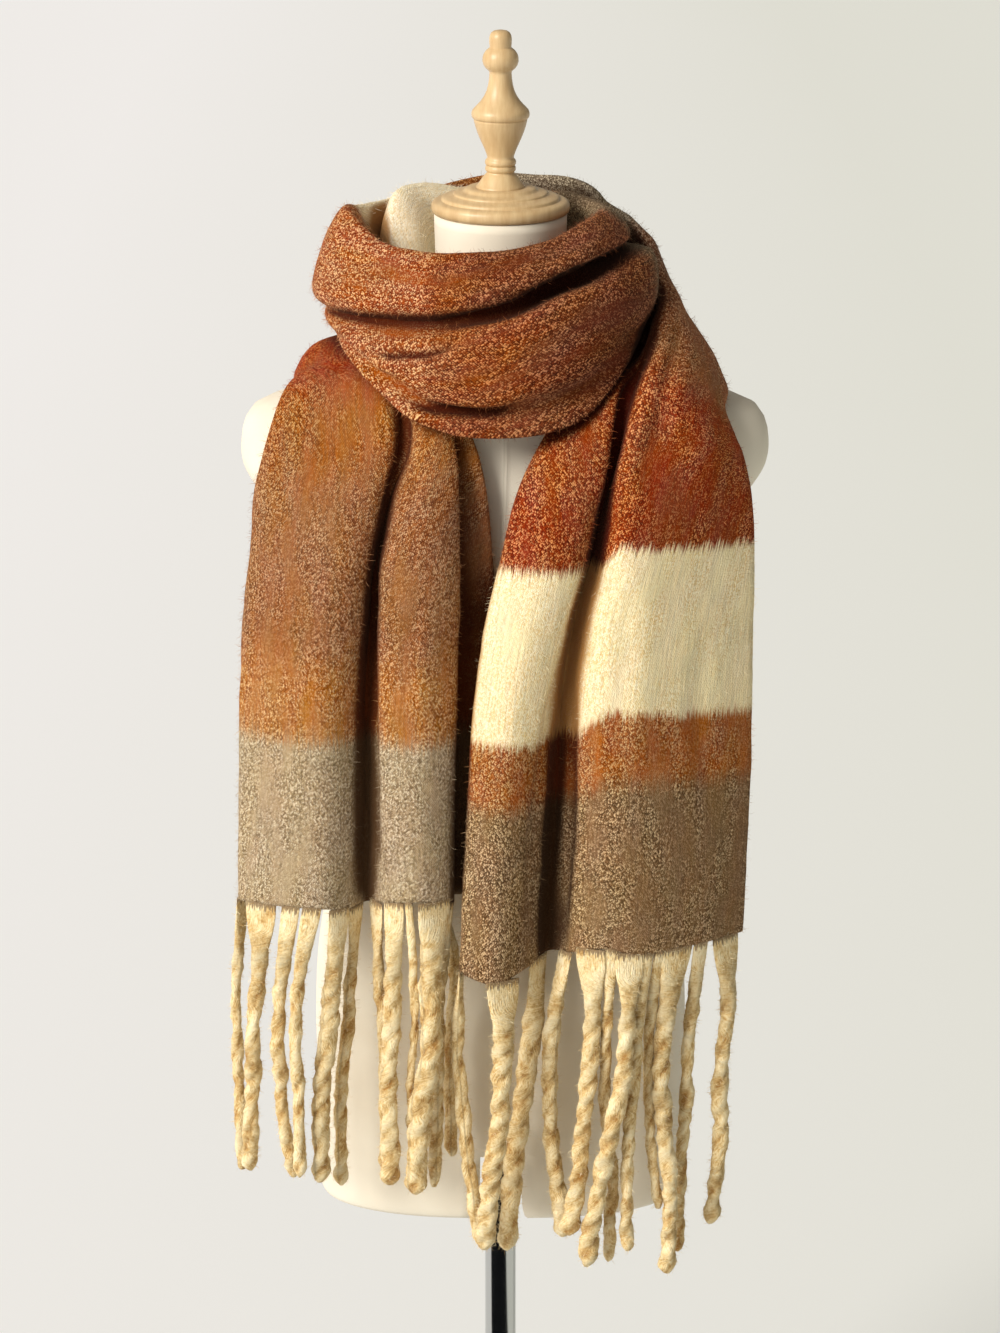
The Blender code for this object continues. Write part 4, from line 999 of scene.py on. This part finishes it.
def tassel(hem, lengths, row, seed):
    root, before, after = [hemPoint(hem, lengths, row["share"] + step) for step in (0, -0.02, 0.02)]
    ahead = after - before
    ahead[2] = 0
    ahead /= np.linalg.norm(ahead)
    side = np.array([ahead[1], -ahead[0], 0])
    # down the middle, with a slow sway of its own
    knots = [0] + [p[2] for p in row["path"]]
    count = int(knots[-1] / fringe["ringStep"])
    fall = np.linspace(-0.6, knots[-1], count + 1)
    across, back = [smoothThrough(knots, [0] + [p[k] for p in row["path"]], fall) for k in (0, 1)]
    centre = np.stack([root[0] + across * mm, root[1] + back * mm, root[2] - fall * mm], axis=1)
    along = np.stack([fall * 0 + seed * 9.1, fall, fall * 0], 1)
    centre[:, 0] += lumps(along, 23.0, 41) * 1.1 * mm * smoothstep(30, 90, fall)
    centre[:, 1] += lumps(along, 29.0, 42) * 1.0 * mm * smoothstep(30, 90, fall)
    # each ring goes from a flat fan at the hem to two plies wound round each other
    theta = np.linspace(0, 2 * math.pi, fringe["sides"], endpoint=False)
    closed = smoothstep(0, fringe["fanLength"], fall)[:, None]
    turned = smoothstep(16, fringe["fanLength"] + 8, fall)[:, None]
    drift = lumps(along, 34.0, 6) * 1.5
    phase = 2 * math.pi * fall / (fringe["lay"] * (1 + 0.25 * math.sin(seed * 2.3))) + seed * 1.7 + drift
    phase = phase[:, None]
    half = row["half"] * fringe["plump"] * (1 + 0.16 * lumps(along, 22.0, 5) + 0.08 * lumps(along, 9.0, 8))
    half = half[:, None]
    fanHalf = row["fan"] * (1 - closed) + half * closed
    fanDeep = fringe["rootThick"] + (half * 0.9 - fringe["rootThick"]) * closed
    lobe = np.abs(np.cos(theta - phase)) ** 0.8
    rope = half * (0.76 + 0.28 * lobe)
    knot = np.ones((count + 1, 1))
    knot[-6:, 0] = fringe["knot"]
    x = ((1 - turned) * fanHalf * np.cos(theta) + turned * rope * np.cos(theta)) * knot
    y = ((1 - turned) * fanDeep * np.sin(theta) + turned * rope * np.sin(theta)) * knot
    ring = centre[:, None, :] + (x[..., None] * ahead + y[..., None] * side) * mm
    outward = ring - centre[:, None, :]
    outward /= np.maximum(np.linalg.norm(outward, axis=-1, keepdims=True), 1e-6)
    bumps = lumps(ring, 0.0028, 11 + seed) * 0.6 + lumps(ring, 0.0060, 50 + seed) * 0.7
    ring = ring + outward * (bumps * fringe["fuzz"] * mm * (0.30 + 0.70 * turned))[..., None]
    # painted shade in the groove between the two plies and in the dips between loops
    hollowShade = 0.55 * (1 - lobe) * turned + np.clip(-bumps, 0, 1) * 0.55
    u = (1 - turned) * x + turned * ((theta - phase) * half)
    flat = np.stack([u * mm, np.repeat(fall[:, None], len(theta), axis=1) * mm], axis=-1)
    return ring, hollowShade, flat


def buildFringe(name, cloth, place, rows, material, node):
    hem = cloth.rows(np.array([float(place)]), scarf["acrossSteps"])[0]
    lengths = np.concatenate([[0], np.cumsum(np.linalg.norm(np.diff(hem, axis=0), axis=-1))])
    points, hollowShades, flats, faces = [], [], [], []
    start = 0
    for k, row in enumerate(rows):
        ring, hollowShade, flat = tassel(hem, lengths, row, k + 1)
        points.append(ring.reshape(-1, 3))
        hollowShades.append(hollowShade.ravel())
        flats.append(flat.reshape(-1, 2))
        rings = (start + np.arange(hollowShade.size).reshape(hollowShade.shape)).tolist()
        for lower, upper in zip(rings, rings[1:]):
            faces += bridge(lower, upper)
        faces += [rings[0], rings[-1][::-1]]
        start += hollowShade.size
    piece = makePiece(name, np.concatenate(points), faces, material, (node,))
    addFacts(piece, "hollowShade", np.concatenate(hollowShades))
    addFacts(piece, "hairs", np.ones(start))
    addMap(piece, "twist", np.concatenate(flats))
    return piece


# Dress form sections from the neck down: half width, then reach to the front and the back, squareness of
# the corners and shift to the viewer's right, in mm.
formSections = table(
    "height half front back square shift",
    (-0.4, 50, 50, 50, 2),
    (-50, 50, 50, 50, 2),
    (-78, 54.8, 53, 55.5, 2),
    (-94, 66, 58, 64, 2),
    (-107, 86, 63.5, 71, 2),
    (-118, 108, 67.5, 78, 2),
    (-128, 134, 68.5, 82, 1.9, 1),
    (-136, 158, 67, 84, 1.9, 2),
    (-143, 180, 68, 86, 2, 3),
    (-149, 192, 70, 88, 2.1, 3.5),
    (-158, 198, 71, 89, 2.3, 3.5),
    (-172, 201, 74, 91, 2.5, 3.5),
    (-190, 200, 78, 93, 2.6, 3),
    (-208, 190, 82, 95, 2.6, 2.5),
    (-228, 173, 87, 96, 2.5, 1.5),
    (-248, 158, 91, 95, 2.4, 1),
    (-275, 146, 93, 91, 2.3),
    (-330, 128, 84, 83, 2.2),
    (-385, 112, 73, 75, 2.15),
    (-430, 106, 67, 73, 2.1),
    (-500, 124, 74, 92, 2.2),
    (-570, 142, 77, 108, 2.3),
    (-640, 147, 79, 110, 2.3),
    (-700, 146, 79, 101, 2.35),
    (-738, 146, 78, 95, 2.4),
)
form = {
    "columns": 40,            # points down one side, front to back
    "rowStep": 7,             # mm
    "crotchHalf": 16,
    "crotchHeight": -738,
    "crotchArch": 5.4,
    "seamRise": 0.55,
    "seamDip": 0.25,
    "seamAcross": (11.0, 5.0, 1.7, 0.8, 0.0, -0.8, -1.7, -5.0, -11.0),
    # legs below the crotch: height, and size next to the opening
    "legs": ((-746, 1.0), (-756, 0.998), (-768, 0.994), (-778, 0.988), (-785, 0.978), (-790, 0.962),
             (-793, 0.935), (-794, 0.88), (-794, 0.6), (-794, 0.25)),
}


def formLinen():
    # Linen-covered papier-mache: fine plain weave, slightly uneven off-white.
    material, tree, shader = newMaterial("form_linen_cover", {"Roughness": 0.88, "Specular IOR Level": 0.2})
    where = addNode(tree, "ShaderNodeTexCoord").outputs["Object"]
    weft = addNode(tree, "ShaderNodeTexNoise", inputs={"Vector": where, "Scale": 900, "Detail": 2})
    stain = addNode(tree, "ShaderNodeTexNoise", inputs={"Vector": where, "Scale": 14, "Detail": 3})
    colour = addNode(tree, "ShaderNodeValToRGB", inputs={"Fac": stain},
                     stops=((0.3, "#E3D9C6"), (0.7, "#EDE6D5")))
    bump = addNode(tree, "ShaderNodeBump", inputs={"Height": weft, "Strength": 0.25, "Distance": 0.0003})
    setInputs(tree, shader, {"Base Color": colour, "Normal": bump})
    return material


def formRows():
    heights = np.array([row["height"] for row in formSections], dtype=float)
    fine = []
    for i, gap in enumerate(np.abs(np.diff(heights))):
        count = max(1, int(round(gap / form["rowStep"])))
        fine += [i + k / count for k in range(count)]
    fine = np.array(fine + [len(heights) - 1])
    index = np.clip(fine.astype(int), 0, len(heights) - 2)
    rows = []
    for key in ("half", "front", "back", "square", "shift"):
        figures = np.array([row.get(key, 0) for row in formSections], dtype=float)
        rows.append(smoothAt(-heights, figures, index, fine - index))
    return list(zip(*rows, np.interp(fine, np.arange(len(heights)), heights)))


def formRing(half, front, back, square, shift, height):
    count = form["columns"]
    across = form["seamAcross"]
    begin = math.asin((form["crotchHalf"] / half) ** (square / 2))
    right = []
    for angle in begin + (math.pi - 2 * begin) * np.arange(count) / (count - 1):
        x = half * abs(math.sin(angle)) ** (2 / square)
        reach = front if math.cos(angle) > 0 else back
        right.append((x, -reach * math.copysign(abs(math.cos(angle)) ** (2 / square), math.cos(angle))))
    # a shallow ridge with a groove down the middle, in front and behind, from the shoulders down
    rise = {0.8: form["seamRise"], -0.8: form["seamRise"], 0.0: -form["seamDip"]}
    seam = float(smoothstep(-70, -110, height))
    flank = [(1 - (abs(x) / half) ** square) ** (1 / square) for x in across]
    ring = right + [(x, back * y + rise.get(x, 0) * seam) for x, y in zip(across, flank)]
    ring += [(-x, y) for x, y in reversed(right)]
    ring += [(x, -front * y - rise.get(x, 0) * seam) for x, y in zip(across[::-1], flank[::-1])]
    return [(x + shift, y, height) for x, y in ring]


def buildForm(material):
    rings = [formRing(*row) for row in formRows()]
    points = [point for ring in rings for point in ring]
    size = len(rings[0])
    levels = np.arange(len(points)).reshape(-1, size).tolist()
    faces = [face for lower, upper in zip(levels, levels[1:]) for face in bridge(lower, upper)]
    faces.append(levels[0])
    # the last ring, from the viewer's right in front and on round the back
    count = form["columns"]
    across = form["seamAcross"]
    k = len(across)
    last = levels[-1]
    right, back, left, front = last[:count], last[count:count + k], last[count + k:-k], last[-k:][::-1]
    # a shallow arch from front to back parts the two legs
    steps = 24
    frontY = points[front[k // 2]][1]
    backY = points[back[k // 2]][1]
    lines = [[right[0]] + front + [left[-1]]]
    for step in range(1, steps):
        t = step / steps
        arch = form["crotchArch"] * float(smoothstep(0.0, 0.30, t) * smoothstep(0.0, 0.30, 1 - t))
        y = (frontY + (backY - frontY) * t) * 0.985
        lines.append(list(range(len(points), len(points) + k + 2)))
        points += [(x, y, form["crotchHeight"] + arch)
                   for x in (form["crotchHalf"],) + across + (-form["crotchHalf"],)]
    lines.append([right[-1]] + back + [left[0]])
    for before, after in zip(lines, lines[1:]):
        faces += list(zip(before, before[1:], after[1:], after))
    for outer, wall in ((right, [line[0] for line in lines]), (left[::-1], [line[-1] for line in lines])):
        ring = outer + wall[-2:0:-1]
        cx = sum(points[i][0] for i in outer) / len(outer)
        cy = sum(points[i][1] for i in outer) / len(outer)
        opening = [points[i] for i in ring]
        for height, shrink in form["legs"]:
            fresh = list(range(len(points), len(points) + len(ring)))
            points += [(cx + (x - cx) * shrink, cy + (y - cy) * shrink, height) for x, y, z in opening]
            faces += bridge(ring, fresh)
            ring = fresh
        faces.append(ring[::-1])
    world = np.array(points, dtype=float) * mm
    world[:, 2] += capUnderside
    return makePiece("dress_form", world, faces, material, ("form_torso",))


# Turned wood: (radius, height) in mm above the underside of the cap.
capProfile = (
    (0, 0), (48.6, 0), (50.6, 0.8), (51.7, 2.4), (52.1, 4.6), (51.9, 6.8), (51, 8.6), (49.2, 9.7),
    (46.6, 10.2), (44.8, 10.4), (44.3, 10.9), (44.1, 11.8), (43.4, 12.5), (41.6, 13), (38.8, 13.7),
    (36.2, 14.3), (35.6, 14.6), (35.2, 15.5), (34.6, 15.9), (32, 16.3), (29, 16.9), (27.6, 17.4),
    (26.6, 18.6), (25, 19.5), (21, 19.7), (0, 19.7),
)
finialProfile = (
    (0, 19.75), (18.4, 19.75), (18.3, 20.5), (17.4, 21.4), (16, 23.4), (14, 26.2), (12.4, 28.4),
    (11, 29.9), (10.3, 30.6), (10.2, 31.3), (10.9, 31.9), (11.5, 33), (11.5, 34.6), (10.9, 35.8),
    (10.5, 36.2), (11.1, 36.7), (11.7, 37.7), (11.7, 39.2), (11.1, 40.5), (10.4, 41.2), (10, 42.4),
    (10.4, 44.2), (11.8, 48), (13.6, 52), (15.6, 56.5), (17.4, 61), (18.9, 65.5), (19.9, 69.4),
    (20.1, 70.6), (19.9, 71.2), (20.6, 71.6), (21.4, 72.6), (21.8, 74.2), (21.7, 76), (21, 77.8),
    (19.6, 79.4), (17.2, 81.8), (14.6, 84.8), (12.2, 88.4), (10.4, 92.4), (9.3, 96.6), (8.6, 101),
    (8.3, 105), (8.5, 106.6), (9.3, 107.6), (11.2, 109.2), (12.7, 111.4), (13.5, 114.2), (13.4, 117.2),
    (12.5, 119.9), (10.9, 122.2), (9, 123.7), (8.2, 124.4), (8.1, 125.4), (8.4, 128.5), (8.4, 131.4),
    (7.9, 133.8), (6.8, 135.6), (5, 136.8), (2.6, 137.3), (0, 137.4),
)
stand = {
    "poleRadius": 12.5,
    "collarRadius": 24.0,
    "collarHeight": 30.0,
    "baseRadius": 150.0,
    "baseHeight": 10.0,
    "poleInside": 6.0,        # how far the pole goes up past the crotch
    "gap": 0.4,
}


def turnedWood():
    # Lathe-turned pale beech under a thin satin lacquer: long soft grain, finer rings round the axis.
    material, tree, shader = newMaterial("turned_beech", {
        "Roughness": 0.42, "Specular IOR Level": 0.4, "Coat Weight": 0.15, "Coat Roughness": 0.25})
    where = addNode(tree, "ShaderNodeTexCoord").outputs["Object"]
    grain = stretchedNoise(tree, where, (60, 14, 9), 5, 0.6, "3D", 4)
    colour = addNode(tree, "ShaderNodeValToRGB", inputs={"Fac": grain},
                     stops=((0.25, "#C19F71"), (0.75, "#DBC092")))
    bump = addNode(tree, "ShaderNodeBump", inputs={"Height": grain, "Strength": 0.12, "Distance": 0.0003})
    setInputs(tree, shader, {"Base Color": colour, "Normal": bump})
    return material


def polishedChrome():
    # Chromed steel tube: mirror bright with faint polishing lines.
    material, tree, shader = newMaterial("polished_chrome", {"Metallic": 1.0, "Base Color": "#C4C6C4"})
    where = addNode(tree, "ShaderNodeTexCoord").outputs["Object"]
    lines = stretchedNoise(tree, where, (30, 30, 900), 2, dimensions="3D")
    rough = addNode(tree, "ShaderNodeMapRange", inputs={"Value": lines, "To Min": 0.07, "To Max": 0.17})
    setInputs(tree, shader, {"Roughness": rough})
    return material


def turn(name, profile, material, bottom, node, count, sharp=32):
    points = []
    rings = []
    for radius, height in profile:
        sides = count if radius else 1
        rings.append(list(range(len(points), len(points) + sides)) * (count // sides))
        for k in range(sides):
            angle = 2 * math.pi * k / count
            points.append((radius * mm * math.cos(angle), radius * mm * math.sin(angle),
                           bottom + height * mm))
    faces = []
    for lower, upper in zip(rings, rings[1:]):
        # a face that reaches the axis loses its doubled corner
        faces += [tuple(dict.fromkeys(face)) for face in bridge(lower, upper)]
    return makePiece(name, points, faces, material, (node,), sharp)


def buildStand(material):
    base = stand["baseHeight"]
    r = stand["baseRadius"]
    foot = ((0, 0), (r - 2.4, 0), (r - 0.7, 0.7), (r, 2.2), (r, base - 3.4), (r - 0.9, base - 1.5),
            (r - 2.8, base - 0.4), (r - 5, base), (40, base), (0, base))
    low = base + stand["gap"]
    top = low + stand["collarHeight"]
    c = stand["collarRadius"]
    socket = ((0, low), (c - 1, low), (c, low + 1), (c, top - 8), (c - 0.6, top - 6.6),
              (c - 0.6, top - 5.4), (c, top - 4), (c - 0.4, top - 2), (c - 1.6, top - 0.6),
              (c - 3.2, top), (0, top))
    poleLow = top + stand["gap"]
    poleTop = capUnderside / mm + form["crotchHeight"] + stand["poleInside"] - stand["gap"]
    p = stand["poleRadius"]
    tube = ((0, poleLow), (p, poleLow), (p, poleTop), (0, poleTop))
    for name, profile, node, count in (("foot_plate", foot, "stand_base", 160),
                                       ("pole_socket", socket, "stand_collar", 96),
                                       ("pole", tube, "stand_pole", 64)):
        turn(name, profile, material, 0.0, node, count)


addCamera()
addStudio()
print("studio ready")
cloth = Cloth()
bandShares = [float(cloth.shareOf(band["end"])) for band in bands]
scarfPiece = buildScarf(cloth, brushedWool(bandShares))
print("scarf", len(scarfPiece.data.polygons))
yarn = woolYarn()
napPiece = addHairs(scarfPiece, "nap_of_scarf", nap, napHair(bandShares), 3)
fringeLeft = buildFringe("fringe_of_left_tail", cloth, 0, leftTassels, yarn, "fringe_left")
fringeRight = buildFringe("fringe_of_right_tail", cloth, cloth.last, rightTassels, yarn, "fringe_right")
looseEnds = yarnHair()
fuzzLeft = addHairs(fringeLeft, "fuzz_of_left_fringe", fuzz, looseEnds, 11)
fuzzRight = addHairs(fringeRight, "fuzz_of_right_fringe", fuzz, looseEnds, 12)
print("fringe", len(fringeLeft.data.polygons) + len(fringeRight.data.polygons))
buildForm(formLinen())
wood = turnedWood()
turn("cap", capProfile, wood, capUnderside, "neck_cap", 128, 38)
turn("knob", finialProfile, wood, capUnderside, "finial", 96, 38)
buildStand(polishedChrome())
print("form and stand")
